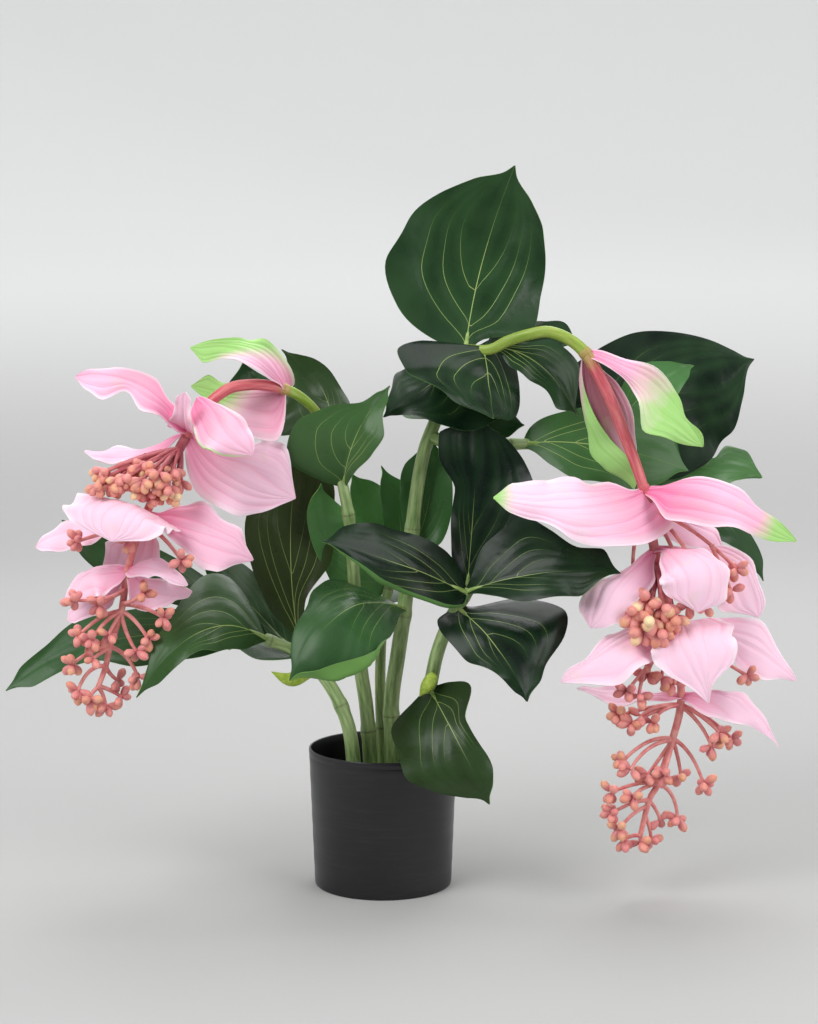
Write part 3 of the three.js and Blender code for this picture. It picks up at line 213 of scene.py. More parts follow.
# A round stalk over a line, with ridges along it and its ends closed by a point.
def stalk(line, radii, sides, slot=0, values=None, ridges=0, ridgeCount=3):
    line, radii = np.asarray(line, float), np.asarray(radii, float)
    along = unit(np.gradient(line, axis=0))
    side = np.cross(along[0], (0.3, -1, 0.2))
    angles = np.arange(sides) * 2 * math.pi / sides
    swell = 1 + ridges * np.cos(ridgeCount * angles)
    rings = []
    for centre, axis, radius in zip(line, along, radii):
        side = side - axis * side.dot(axis)
        side = side / np.linalg.norm(side)
        spokes = np.outer(np.cos(angles), side) + np.outer(np.sin(angles), np.cross(axis, side))
        rings.append(centre + spokes * (swell * radius)[:, None])
    first = line[:1] - along[:1] * radii[0] * stalkEnd
    last = line[-1:] + along[-1:] * radii[-1] * stalkEnd
    spreadValues = {}
    for key, value in (values or {}).items():
        value = np.asarray(value, float)
        if value.ndim and len(value) == len(line):
            value = np.concatenate([value[:1], np.repeat(value, sides, axis=0), value[-1:]])
        spreadValues[key] = value
    faces = facesBetween(ringsOf([1, *[sides] * len(line), 1]))
    return growth(np.concatenate([first, *rings, last]), faces, slot, spreadValues)


# Solid of revolution about the vertical from radius and height pairs, from the middle out and round.
def turned(profile, sides):
    angles = [2 * math.pi * k / sides for k in range(sides)]
    points = []
    for radius, height in profile:
        points += [(radius * math.cos(a), radius * math.sin(a), height) for a in (angles if radius else [0])]
    return growth(points, facesBetween(ringsOf([sides if radius else 1 for radius, _ in profile])), 0, {})


# Shares along a blade at which a row gives its half widths, and what all blades have in common.
stations = (0, 0.08, 0.22, 0.4, 0.58, 0.76, 0.9, 1)
bladeForm = {
    "tipWidth": 0.8, "hemStart": 0.72, "leftPhase": 0.37, "lobeReach": 0.4, "uneven": 0.03, "nibFrom": 0.88,
    "nibReach": 0.09, "wave": 3, "waves": 2, "fineSteps": 200,
}


def smoothThrough(xs, ys, at):
    xs, ys = np.array(xs, float), np.array(ys, float)
    step = np.diff(xs)
    rise = np.diff(ys) / step
    slopes = np.concatenate([rise[:1], np.zeros(len(xs) - 2), rise[-1:]])
    for i in range(1, len(xs) - 1):
        if rise[i - 1] * rise[i] > 0:
            before, after = step[i - 1], step[i]
            resistance = (2 * after + before) / rise[i - 1] + (after + 2 * before) / rise[i]
            slopes[i] = 3 * (before + after) / resistance
    i = np.clip(np.searchsorted(xs, at) - 1, 0, len(xs) - 2)
    a, b, c, d = cubicWeights((at - xs[i]) / step[i])
    return a * ys[i] + b * step[i] * slopes[i] + c * ys[i + 1] + d * step[i] * slopes[i + 1]


# Middle line, tangent, face normal and side along a rib, the face carried from its middle to both ends.
def ribFrames(row, us):
    base, middle, tip = (np.array(p, float) for p in row["rib"])
    control = 2 * middle - (base + tip) / 2
    last = 40
    fine = np.linspace(0, 1, last + 1)

    def tangentAt(at):
        at = np.asarray(at, float)[:, None]
        return unit(2 * (1 - at) * (control - base) + 2 * at * (tip - control))

    tangents = tangentAt(fine)
    normals = np.zeros((last + 1, 3))
    half = last // 2
    for i in [half, *range(half + 1, last + 1), *range(half - 1, -1, -1)]:
        source = np.array(row["face"], float) if i == half else normals[i - 1 if i > half else i + 1]
        normals[i] = unit(source - tangents[i] * source.dot(tangents[i]))
    centre = bowThrough(base, control, tip, us)
    tangent = tangentAt(us)
    normal = readAt(us, fine, normals)
    normal = unit(normal - tangent * (normal * tangent).sum(1, keepdims=True))
    side = np.cross(tangent, normal)
    turn = (math.radians(row.get("twist", 0)) * (us - 0.5))[:, None]
    facing = normal * np.cos(turn) + side * np.sin(turn)
    return centre, tangent, facing, side * np.cos(turn) - normal * np.sin(turn)


# Fine grid of a blade: its points, and for each the share along, the share across and the half width.
def bladeGrid(row, make):
    steps, strips = make["grid"]
    even = np.linspace(0, 1, steps + 1)
    us = 0.5 * even + 0.25 * (1 - np.cos(math.pi * even))
    centre, tangent, normal, side = ribFrames(row, us)
    half = strips // 2
    even = np.linspace(0, 1, half + 1)
    qs = even * (1.2 - 0.2 * even)
    fineSteps = bladeForm["fineSteps"]
    fine = np.linspace(0, 1, fineSteps + 1)
    hemFrom = np.interp(us, (0, 1), pairOf(row.get("hemFrom", bladeForm["hemStart"])))[:, None]
    rolled = smooth((fine - hemFrom) / np.clip(1 - hemFrom, 0.001, row.get("hemSpan", 1)))
    calm = np.sqrt(np.sin(math.pi * us).clip(0))
    clasp = smooth(1 - us / bladeForm["lobeReach"])
    points = np.zeros((steps + 1, strips + 1, 3))
    width = np.zeros((steps + 1, strips + 1))
    for k, (sign, key) in enumerate(((-1, "left"), (1, "right"))):
        widths = smoothThrough(stations, (make["foot"], *row[key], bladeForm["tipWidth"]), us)
        # a slightly uneven outline
        widths = widths * (1 + bladeForm["uneven"] * np.sin(17 * us + 4 * sign + 0.1 * row["rib"][0][2]))
        # leaves draw in to a narrow drip tip
        nib = smooth((us - bladeForm["nibFrom"]) / bladeForm["nibReach"])
        widths = widths * (1 - make.get("nib", 0) * nib)
        fold, curl, hem = (math.radians(pairOf(row.get(name, 0))[k]) for name in ("fold", "curl", "hem"))
        angle = fold + curl * fine + hem * rolled
        out, up = (np.cumsum(course(angle), 1) / fineSteps for course in (np.cos, np.sin))
        phase = row.get("phase", 0) + (bladeForm["leftPhase"] if sign < 0 else 0)
        turns = row.get("waves", bladeForm["waves"]) * us + phase
        swing = row.get("wave", bladeForm["wave"]) * calm * np.sin(2 * math.pi * turns)
        for j, q in enumerate(qs):
            column = half + sign * j
            at = min(int(q * fineSteps), fineSteps - 1)
            share = q * fineSteps - at
            across = sign * (out[:, at] * (1 - share) + out[:, at + 1] * share) * widths
            lift = (up[:, at] * (1 - share) + up[:, at + 1] * share) * widths + swing * q**1.6
            back = pairOf(row.get("lobe", make["lobe"]))[k] * q * widths * clasp
            shift = side * across[:, None] + normal * lift[:, None] - tangent * back[:, None]
            points[:, column] = centre + shift
            width[:, column] = widths
    u = np.repeat(us[:, None], strips + 1, 1)
    v = np.repeat(np.concatenate([-qs[:0:-1], qs])[None], steps + 1, 0)
    return points, u, v, width, lengthOf(centre), normal


def gridNormals(points, facing):
    normals = unit(np.cross(np.gradient(points, axis=0), np.gradient(points, axis=1)))
    middle = (points.shape[0] // 2, points.shape[1] // 2)
    return normals if normals[middle].dot(facing[middle[0]]) > 0 else -normals


# Two skins and a rim over a grid. Slot 0 is the upper face, slot 1 the underside and the rim.
def bladeSkins(points, normals, thickness, values):
    rows, columns = points.shape[:2]
    upper, under = points + normals * thickness / 2, points - normals * thickness / 2
    number = np.arange(rows * columns).reshape(rows, columns)
    a, b, c, d = number[:-1, :-1], number[:-1, 1:], number[1:, 1:], number[1:, :-1]
    quads = np.stack([a, b, c, d], -1).reshape(-1, 4)
    loop = [*number[0, :-1], *number[:-1, -1], *number[-1, :0:-1], *number[:0:-1, 0]]
    flat, up = points.reshape(-1, 3), normals.reshape(-1, 3)
    i, j, _, k = quads[len(quads) // 2]
    if np.cross(flat[j] - flat[i], flat[k] - flat[i]).dot(up[i]) < 0:
        quads, loop = quads[:, ::-1], loop[::-1]
    shift = rows * columns
    rim = [[loop[i], loop[i - 1], loop[i - 1] + shift, loop[i] + shift] for i in range(len(loop))]
    faces = [*quads.tolist(), *(quads[:, ::-1] + shift).tolist(), *rim]
    slots = [0] * len(quads) + [1] * (len(quads) + len(rim))
    both = {key: np.concatenate([value.reshape(shift, -1)] * 2).squeeze() for key, value in values.items()}
    return growth(np.concatenate([upper.reshape(-1, 3), under.reshape(-1, 3)]), faces, slots, both)


# The rib of a blade: a stout stalk at the foot that sinks into the blade and shows below it.
def bladeRib(points, u, normal, form):
    us = np.linspace(0, form["reach"], form["steps"])
    base = readAt(us, u[:, 0], points[:, points.shape[1] // 2])
    radii = form["radius"] * (1 - us) ** form["taper"] + form["least"]
    sink = radii * smooth(us / form["sinkBy"]) * form["sink"]
    values = {"fan": np.outer(us, form["fan"])} if "fan" in form else {}
    line = base - readAt(us, u[:, 0], normal) * sink[:, None]
    return stalk(line, radii, form["sides"], form["slot"], values)


# Polypropylene, injection moulded: near black, satin, with faint scuffs round the wall that catch the light.
def makePotPlastic():
    material, shader, add = newMaterial("potPolypropylene")
    place = add("TexCoord", "Object")
    # stretched round the pot: scuffs about 3 mm high and 40 mm long
    stretched = add("Mapping", 0, {"Scale": (24, 24, 320), "Vector": place})
    scuffs = add("TexNoise", "Fac", {"Scale": 1, "Detail": 4, "Roughness": 0.6, "Vector": stretched})
    worn = add("MapRange", 0, {"From Min": 0.5, "From Max": 0.8, "To Max": 0.5, "Value": scuffs})
    colour = add("Mix", 2, {0: worn, 6: "#151518", 7: "#2A2A2E"})
    # handled patches about 45 mm across
    cloud = add("TexNoise", "Fac", {"Scale": 22, "Detail": 2, "Vector": place})
    rough = add("MapRange", 0, {
        "From Min": 0.3, "From Max": 0.7, "To Min": 0.3, "To Max": 0.4, "Value": cloud,
    })
    # moulded grain near 0.5 mm
    grain = add("TexNoise", "Fac", {"Scale": 1900, "Detail": 1, "Vector": place})
    bump = add("Bump", 0, {"Strength": 0.08, "Distance": 0.0004, "Height": grain})
    setNode(shader, {"IOR": 1.49, "Base Color": colour, "Roughness": rough, "Normal": bump})
    return material


# Peat and coir, crumbled: dark and dead matt, with paler fibres.
def makeSoilMix():
    material, shader, add = newMaterial("pottingPeat")
    place = add("TexCoord", "Object")
    # crumbs 2 to 5 mm across
    lumps = add("TexNoise", "Fac", {"Scale": 300, "Detail": 5, "Roughness": 0.7, "Vector": place})
    colour = add("ValToRGB", 0, {"Fac": lumps})
    setStops(colour.node.color_ramp, ((0.35, "#120C08"), (0.75, "#5A4330")))
    rough = add("MapRange", 0, {"To Min": 0.85, "To Max": 1.0, "Value": lumps})
    bump = add("Bump", 0, {"Strength": 0.8, "Distance": 0.002, "Height": lumps})
    setNode(shader, {
        "IOR": 1.4, "Specular IOR Level": 0.2, "Base Color": colour, "Roughness": rough, "Normal": bump,
    })
    return material


# Semi-woody stem, waxy: olive green with paler lengthwise streaks and brown, cracked rings at its nodes.
def makeStemSkin(name, green, pale, blush=None, blushPale=None):
    material, shader, add = newMaterial(name)
    place = add("TexCoord", "Object")
    # streaks about 4 mm wide and 33 mm long on a stem
    lane = add("Attribute", "Vector", {"attribute_name": "lane"})
    streaks = add("TexNoise", "Fac", {"Scale": 1, "Detail": 3, "Roughness": 0.6, "Vector": lane})
    share = add("MapRange", 0, {"From Min": 0.35, "From Max": 0.68, "Value": streaks})
    colour = add("Mix", 2, {0: share, 6: green, 7: pale})
    if blush:
        # where the sun reddens it, with an uneven border about 11 mm deep
        red = add("Attribute", "Fac", {"attribute_name": "blush"})
        cloudy = add("TexNoise", "Fac", {"Scale": 90, "Detail": 3, "Vector": place})
        edge = add("Math", 0, {"operation": "MULTIPLY_ADD", 0: cloudy, 1: 0.5, 2: -0.25})
        reddened = add("Math", 0, {"operation": "ADD", "use_clamp": True, 0: red, 1: edge})
        skin = add("Mix", 2, {0: share, 6: blush, 7: blushPale})
        colour = add("Mix", 2, {0: reddened, 6: colour, 7: skin})
    ring = add("Attribute", "Fac", {"attribute_name": "ring"})
    # cracks 2 mm across, in the rings alone
    speckle = add("TexNoise", "Fac", {"Scale": 500, "Detail": 4, "Roughness": 0.7, "Vector": place})
    broken = add("Math", 0, {"operation": "MULTIPLY", 0: ring, 1: speckle})
    bark = add("MapRange", 0, {"From Min": 0.22, "From Max": 0.55, "To Max": 0.65, "Value": broken})
    colour = add("Mix", 2, {0: bark, 6: colour, 7: "#4A3020"})
    rough = add("MapRange", 0, {"To Min": 0.34, "To Max": 0.5, "Value": streaks})
    relief = add("Math", 0, {"operation": "SUBTRACT", 0: streaks, 1: bark})
    bump = add("Bump", 0, {"Strength": 0.35, "Distance": 0.0006, "Height": relief})
    setNode(shader, {"IOR": 1.44, "Base Color": colour, "Roughness": rough, "Normal": bump})
    return material


leafLooks = {
    "waxedLeafFace": {
        "dark": "#08190F", "light": "#508148", "aged": "#3A4522", "vein": "#AFC274", "veinWidth": 0.55,
        "veinShare": 0.8, "rough": 0.25, "sheen": 0,
    },
    "mattLeafUnderside": {
        "dark": "#4A7338", "light": "#82B25A", "aged": "#7C8A4A", "vein": "#A8C47C", "veinWidth": 0.8,
        "veinShare": 0.5, "rough": 0.5, "sheen": 0.05,
    },
}


# Leaf cuticle, waxed: deep green and glossy above, matt and paler below, with thin yellow-green veins.
def makeLeafSkin(name):
    material, shader, add = newMaterial(name)
    look = leafLooks[name]
    veinWidth, rough = look["veinWidth"], look["rough"]
    blade, lines = (add("Attribute", "Vector", {"attribute_name": key}) for key in ("blade", "veins"))
    tone, last, fade, olive = (
        add("Attribute", "Fac", {"attribute_name": key}) for key in ("tone", "lastVein", "fade", "olive")
    )
    far = add("VectorMath", 0, {"operation": "ABSOLUTE", 0: lines})
    middleGap, *sideGaps = add("SeparateXYZ", 0, {0: far}).node.outputs
    side = add("Math", 0, {"operation": "MINIMUM", 0: sideGaps[0], 1: sideGaps[1]})
    lastGap = add("Math", 0, {"operation": "ABSOLUTE", 0: last})
    side = add("Math", 0, {"operation": "MINIMUM", 0: side, 1: lastGap})
    # side veins are a little finer than the middle one
    finer = add("Math", 0, {"operation": "ADD", 0: side, 1: veinWidth * 0.3})
    bare = add("Math", 0, {"operation": "MINIMUM", 0: finer, 1: middleGap})
    near = add("Math", 0, {"operation": "ADD", 0: bare, 1: fade})
    fromVein = {"To Min": 1.0, "To Max": 0.0, "Value": near}
    line = add("MapRange", 0, {"From Min": veinWidth * 0.3, "From Max": veinWidth, **fromVein})
    halo = add("MapRange", 0, {"From Max": 8.0, **fromVein})
    # swellings between the cross veins, about 11 mm apart, and shades about 30 mm across
    crossing = add("TexNoise", "Fac", {"Scale": 0.09, "Detail": 1, "Roughness": 0.4, "Vector": blade})
    cloud = add("TexNoise", "Fac", {"Scale": 0.035, "Detail": 1.5, "Roughness": 0.5, "Vector": blade})
    # leaf cells, drawn near 0.7 mm, coarser than real so that they show
    cells = add("TexNoise", "Fac", {"Scale": 1.4, "Detail": 2, "Vector": blade})
    mottled = add("Math", 0, {"operation": "MULTIPLY_ADD", 0: cloud, 1: 0.2, 2: -0.1})
    # each leaf's tone, from dark to light green, is partly its own colour and partly painted shade that
    # darkens leaves lying in shadow
    shade = add("Math", 0, {"operation": "ADD", 0: tone, 1: mottled})
    warmed = add("Math", 0, {"operation": "MULTIPLY_ADD", "use_clamp": True, 0: halo, 1: 0.07, 2: shade})
    colour = add("Mix", 2, {0: warmed, 6: look["dark"], 7: look["light"]})
    # old leaves turn olive
    colour = add("Mix", 2, {0: olive, 6: colour, 7: look["aged"]})
    drawn = add("Math", 0, {"operation": "MULTIPLY", 0: line, 1: look["veinShare"]})
    colour = add("Mix", 2, {0: drawn, 6: colour, 7: look["vein"]})
    gloss = add("MapRange", 0, {
        "From Min": 0.3, "From Max": 0.7, "To Min": rough, "To Max": rough + 0.08, "Value": cloud,
    })
    soft = add("Math", 0, {"operation": "MULTIPLY_ADD", 0: cells, 1: 0.03, 2: crossing})
    # the blade swells softly up from each vein
    quilted = add("MapRange", 0, {
        "interpolation_type": "SMOOTHSTEP", "From Max": 8.0, "To Max": 0.5, "Value": bare,
    })
    swollen = add("Math", 0, {"operation": "ADD", 0: quilted, 1: soft})
    sunk = add("Math", 0, {"operation": "MULTIPLY_ADD", 0: line, 1: -0.3, 2: swollen})
    bump = add("Bump", 0, {"Strength": 0.3, "Distance": 0.001, "Height": sunk})
    setNode(shader, {
        "IOR": 1.42, "Specular IOR Level": 0.29, "Sheen Weight": look["sheen"], "Sheen Roughness": 0.5,
        "Base Color": colour, "Roughness": gloss, "Normal": bump,
    })
    return material


# Bract tissue, silky: soft pink, deeper at its foot, with fine lengthwise creases and lime green tips.
def makeBractSkin():
    material, shader, add = newMaterial("bractTissue")
    blade, fan = (add("Attribute", "Vector", {"attribute_name": key}) for key in ("blade", "fan"))
    lime, dusk, rosy, phase = (
        add("Attribute", "Fac", {"attribute_name": key}) for key in ("lime", "dusk", "rosy", "pleat")
    )
    along, _, outward = add("SeparateXYZ", 0, {0: fan}).node.outputs
    # pleats run from foot to tip, near 15 mm apart, each valley a thin darker line of painted shade in the
    # crease
    folded = add("Math", 0, {"operation": "SINE", 0: phase})
    ridge = add("Math", 0, {"operation": "ABSOLUTE", 0: folded})
    valleyShade = add("MapRange", 0, {"From Max": 0.4, "To Min": 0.2, "To Max": 0.0, "Value": ridge})
    # creases between them, about 1.5 mm apart
    lanes = add("Mapping", 0, {"Scale": (0.9, 16, 1), "Vector": fan})
    creases = add("TexNoise", "Fac", {"Scale": 1.3, "Detail": 3, "Roughness": 0.6, "Vector": lanes})
    foot = add("MapRange", 0, {"From Max": 0.5, "To Min": 0.75, "To Max": 0.0, "Value": along})
    streaked = add("Math", 0, {"operation": "MULTIPLY_ADD", 0: creases, 1: 0.5, 2: -0.29})
    darker = add("Math", 0, {"operation": "ADD", 0: streaked, 1: valleyShade})
    flushed = add("Math", 0, {"operation": "ADD", 0: darker, 1: rosy})
    deep = add("Math", 0, {"operation": "ADD", "use_clamp": True, 0: foot, 1: flushed})
    colour = add("Mix", 2, {0: deep, 6: "#FBD0E4", 7: "#EA76A3"})
    rim = add("MapRange", 0, {"From Min": 0.78, "From Max": 1.0, "To Max": 0.7, "Value": outward})
    colour = add("Mix", 2, {0: rim, 6: colour, 7: "#FDEEF5"})
    # painted shade: the shaded inner face near the foot of some bracts is darkened to brownish mauve
    colour = add("Mix", 2, {0: dusk, 6: colour, 7: "#85474A"})
    # the lime creeps in along clouds 20 mm across
    cloud = add("TexNoise", "Fac", {"Scale": 0.05, "Detail": 3, "Vector": blade})
    edge = add("Math", 0, {"operation": "MULTIPLY_ADD", 0: cloud, 1: 0.6, 2: -0.3})
    green = add("Math", 0, {"operation": "ADD", 0: lime, 1: edge})
    green = add("MapRange", 0, {"From Min": 0.05, "From Max": 0.9, "Value": green})
    fresh = add("Mix", 2, {0: creases, 6: "#B6E098", 7: "#8CC552"})
    colour = add("Mix", 2, {0: green, 6: colour, 7: fresh})
    rough = add("MapRange", 0, {"To Min": 0.42, "To Max": 0.62, "Value": creases})
    relief = add("Math", 0, {"operation": "MULTIPLY_ADD", 0: creases, 1: 0.6, 2: ridge})
    bump = add("Bump", 0, {"Strength": 0.5, "Distance": 0.0008, "Height": relief})
    setNode(shader, {
        "IOR": 1.4, "Sheen Weight": 0.15, "Sheen Roughness": 0.4, "Specular IOR Level": 0.35,
        "Subsurface Weight": 0.12, "Subsurface Radius": (1.0, 0.45, 0.4), "Subsurface Scale": 0.002,
        "Base Color": colour, "Roughness": rough, "Normal": bump,
    })
    return material


# Flower bud, waxy and swollen: coral at its cup, then dusty pink, orange or cream to the tip.
def makeBudSkin():
    material, shader, add = newMaterial("waxyBud")
    place = add("TexCoord", "Object")
    bud = add("Attribute", "Vector", {"attribute_name": "bud"})
    along, age, _ = add("SeparateXYZ", 0, {0: bud}).node.outputs
    aged = add("ValToRGB", 0, {"Fac": age})
    stops = ((0, "#E28B89"), (0.3, "#EB9C92"), (0.6, "#E0947C"), (0.82, "#F0BC96"), (1, "#F9E4B4"))
    setStops(aged.node.color_ramp, stops)
    # the base stays rose, the swollen end takes the colour of its age
    ripe = add("MapRange", 0, {"From Min": 0.3, "From Max": 0.72, "Value": along})
    colour = add("Mix", 2, {0: ripe, 6: "#D88A8A", 7: aged})
    # flecks 2 mm across
    speckle = add("TexNoise", "Fac", {"Scale": 420, "Detail": 3, "Vector": place})
    worn = add("MapRange", 0, {"From Min": 0.58, "From Max": 0.85, "To Max": 0.35, "Value": speckle})
    colour = add("Mix", 2, {0: worn, 6: colour, 7: "#B45A58"})
    rough = add("MapRange", 0, {"To Min": 0.28, "To Max": 0.5, "Value": speckle})
    bump = add("Bump", 0, {"Strength": 0.25, "Distance": 0.0005, "Height": speckle})
    setNode(shader, {
        "IOR": 1.43, "Subsurface Weight": 0.15, "Subsurface Radius": (1.0, 0.4, 0.25),
        "Subsurface Scale": 0.0015, "Base Color": colour, "Roughness": rough, "Normal": bump,
    })
    return material


potPlastic = makePotPlastic()
soilMix = makeSoilMix()
stemSkin = makeStemSkin("waxyStem", "#658248", "#A5BA80")
stalkSkin = makeStemSkin("flowerStalkSkin", "#7C9A34", "#A5B957", "#BE4A58", "#DE8083")
twigSkin = makeStemSkin("flowerTwigSkin", "#D97C7A", "#E9A69E", "#9A3E4B", "#B9606A")
leafTop, leafBelow = (makeLeafSkin(name) for name in leafLooks)
ribSkin = makeStemSkin("leafRibSkin", "#7D9B4A", "#A9BF74")
budGreen = makeStemSkin("leafBudSkin", "#8FAF35", "#BACB58")
bractSkin = makeBractSkin()
budSkin = makeBudSkin()
print("finishes made")


# Every length in the plant is in millimetres.
pot = {
    "rim": 70, "foot": 64.8, "height": 131, "wall": 2, "floor": 3, "lip": 8, "feather": 1.6, "sides": 144,
    "sag": 0.12, "wallRings": 23,
}


def makePot():
    rim, foot, top, wall = pot["rim"], pot["foot"], pot["height"], pot["wall"]
    slope = (rim - foot) / top
    low, lip = pot["feather"], top - pot["lip"]
    profile = [(0, 1.2), (foot - 7, 1.2), (foot - 5.5, 0), (foot - 1.2, 0), (foot - 0.4, 0.5), (foot, low)]
    # the wall, in rings close enough to hold its slight moulding sag
    for i in range(1, pot["wallRings"] + 1):
        z = low + (lip - low) * i / pot["wallRings"]
        profile.append((foot + slope * z + pot["sag"] * math.sin(i * 1.7), z))
    # a rolled lip: a shallow step, then a rounded rim
    profile += [
        (rim - 0.55, top - 6.4), (rim - 0.15, top - 5.6), (rim, top - 4), (rim, top - 1.0),
        (rim - 0.25, top - 0.35), (rim - 0.8, top), (rim - wall + 0.7, top), (rim - wall + 0.2, top - 0.3),
        (rim - wall, top - 0.9),
    ]
    profile += [(foot - wall + slope * z, z) for z in (lip, 90, 60, 30, pot["floor"] + 1)]
    profile += [(foot - wall - 1, pot["floor"]), (0, pot["floor"])]
    return [turned(profile, pot["sides"])]


soil = {
    "crown": 103, "edge": 99.6, "radius": 66, "hills": 0.7, "rings": 22, "sides": 96, "gap": 0.6,
    "crumbs": 260, "crumbReach": 62, "crumbSizes": (1.2, 2.2), "crumbGrid": (4, 6), "seed": 5,
}


def soilHeight(x, y):
    reach = math.hypot(x, y) / soil["radius"]
    hills = math.sin(x * 0.31 + 1) * math.sin(y * 0.27)
    hills += 0.6 * math.sin(x * 0.83 + y * 0.47) * math.sin(y * 0.9 - 1)
    return soil["crown"] - (soil["crown"] - soil["edge"]) * reach**2 + soil["hills"] * hills - 1.0


# The root ball: an uneven top, a side down to the floor of the pot, and loose crumbs on top.
def makeSoil():
    inner = pot["foot"] - pot["wall"]
    radius = inner + (pot["rim"] - pot["foot"]) * soil["edge"] / pot["height"] - 0.5
    sides, bottom = soil["sides"], pot["floor"] + soil["gap"]
    turn = [(math.cos(a), math.sin(a)) for a in (2 * math.pi * k / sides for k in range(sides))]
    points = [(0, 0, soilHeight(0, 0))]
    for ring in range(1, soil["rings"] + 1):
        r = radius * ring / soil["rings"]
        points += [(r * x, r * y, soilHeight(r * x, r * y)) for x, y in turn]
    points += [((inner - soil["gap"]) * x, (inner - soil["gap"]) * y, bottom) for x, y in turn]
    points.append((0, 0, bottom))
    rings = ringsOf([1, *[sides] * (soil["rings"] + 1), 1])
    parts = [growth(points, facesBetween(rings[::-1]), 0, {})]
    chance = random.Random(soil["seed"])
    least, more = soil["crumbSizes"]
    for _ in range(soil["crumbs"]):
        r, a = soil["crumbReach"] * math.sqrt(chance.random()), 2 * math.pi * chance.random()
        x, y, size = r * math.cos(a), r * math.sin(a), least + more * chance.random() ** 2
        parts.append(crumb((x, y, soilHeight(x, y) + size * 0.2), size, chance))
    return parts


# A rough lump of soil: a flattened ball of a few rings, pinched in and out.
def crumb(middle, size, chance):
    points, (rings, sides) = [], soil["crumbGrid"]
    sizes = [sides if 0 < ring < rings else 1 for ring in range(rings + 1)]
    for ring, count in enumerate(sizes):
        lean = math.pi * ring / rings
        for k in range(count):
            a = 2 * math.pi * k / sides
            reach = size * (0.75 + 0.5 * chance.random())
            out, up = reach * math.sin(lean), 0.7 * reach * math.cos(lean)
            points.append((middle[0] + out * math.cos(a), middle[1] + out * math.sin(a), middle[2] + up))
    return growth(points, facesBetween(ringsOf(sizes)[::-1]), 0, {})


makePiece("potShell", makePot(), [potPlastic], "pot", 35)
makePiece("rootBall", makeSoil(), [soilMix], "soil", 80)
print("pot and soil made")

limbRows = {
    "stemLeft": {
        "path": [
            (-25, -20, 76), (-29, -22, 137), (-36, -22, 167), (-48, -18, 191), (-63, -8, 208),
            (-84, -2, 223), (-111, -4, 235),
        ],
        "radii": (7, 6.4, 6, 5), "rings": (0.17, 0.5, 0.97),
    },
    "stemMid": {
        "path": [
            (-10, -2, 72), (-13, 0, 132), (-16, 2, 170), (-21, 0, 206), (-25, -2, 252), (-28, -8, 310),
            (-31, -14, 348), (-37, -14, 382), (-43, 0, 405), (-51, 8, 430),
        ],
        "radii": (7, 6.6, 5.4, 4.6), "rings": (0.2, 0.44, 0.77, 0.97),
    },
    "stemBack": {
        "path": [
            (1, 24, 65), (-1, 26, 126), (-3, 28, 179), (-2, 30, 223), (2, 36, 260), (7, 44, 285),
        ],
        "radii": (6, 5, 4), "rings": (0.35, 0.95),
    },
    "stemTall": {
        "path": [
            (7, 8, 69), (8, 8, 130), (8, 8, 174), (14, 4, 218), (20, 2, 261), (25, 6, 308), (30, 8, 360),
            (38, 10, 407), (49, 10, 438), (65, 4, 475), (79, -2, 506),
        ],
        "radii": (7.6, 7.2, 6.4, 5.6), "rings": (0.2, 0.42, 0.6, 0.95),
    },
    "stemRight": {
        "path": [
            (22, -10, 74), (26, -16, 123), (34, -32, 161), (43, -44, 194), (50, -46, 227), (59, -44, 252),
            (69, -42, 272), (79, -40, 287),
        ],
        "radii": (6.6, 6.4, 6), "rings": (0.17, 0.45, 0.96),
    },
    "branchRight": {
        "path": [
            (44, 10, 424), (82, 10, 413), (110, 8, 416), (135, 12, 417), (168, 38, 413), (207, 54, 421),
            (236, 56, 402), (255, 50, 377), (294, 52, 357),
        ],
        "radii": (6, 5, 4), "rings": (0.05, 0.27, 0.6, 0.97),
    },
    "leftPeduncle": {
        "path": [
            (-51, 8, 430), (-63, -8, 450), (-76, -20, 463), (-89, -28, 470), (-104, -36, 474),
            (-120, -40, 475), (-138, -44, 472), (-155, -48, 460), (-169, -52, 444), (-177, -54, 429),
        ],
        "radii": (4.2, 5, 5.2, 4.4), "blushFrom": 0.28, "ridges": 0.06,
    },
    "rightPeduncle": {
        "path": [
            (79, -2, 506), (99, -10, 506), (115, -16, 514), (133, -22, 520), (152, -28, 523),
            (171, -32, 516), (185, -36, 504), (196, -40, 486), (209, -42, 460), (220, -44, 432),
            (229, -46, 409), (236, -48, 389), (241, -48, 373),
        ],
        "radii": (4.6, 5.2, 5.6, 5.4, 4.6), "blushFrom": 0.46, "ridges": 0.06,
    },
}

limbForm = {
    "perMm": 0.4, "sides": 20, "ringReach": 5, "ringSwell": 1.1, "grooveReach": 1.7, "groove": 0.35,
    "blushReach": 0.14, "ridges": 0.035,
}


# A stem or flower stalk: round with faint ridges, swollen and ringed where leaves stood or stand.
def makeLimb(row):
    path = np.array(row["path"], float)
    length = lengthOf(path)
    shares = np.linspace(0, 1, max(24, int(length * limbForm["perMm"])))
    line = lineThrough(path, shares)
    gone = np.concatenate([[0], np.cumsum(np.linalg.norm(np.diff(line, axis=0), axis=1))])
    ring = np.zeros(len(shares))
    radii = spread(row["radii"], shares)
    for at in row.get("rings", ()):
        far = np.abs(gone - at * length)
        radii += limbForm["ringSwell"] * np.exp(-((far / limbForm["ringReach"]) ** 2))
        ring += np.exp(-((far / limbForm["grooveReach"]) ** 2))
    values = {
        "ring": ring.clip(0, 1),
        "blush": smooth((shares - row.get("blushFrom", 2)) / limbForm["blushReach"]),
    }
    sides = limbForm["sides"]
    ridges = row.get("ridges", limbForm["ridges"])
    part = stalk(line, radii - limbForm["groove"] * ring, sides, 0, values, ridges)
    lanes = [(0.03 * g, 9 * k / sides, 0) for g in gone for k in range(sides)]
    part["values"]["lane"] = np.array([lanes[0], *lanes, lanes[-1]])
    return part


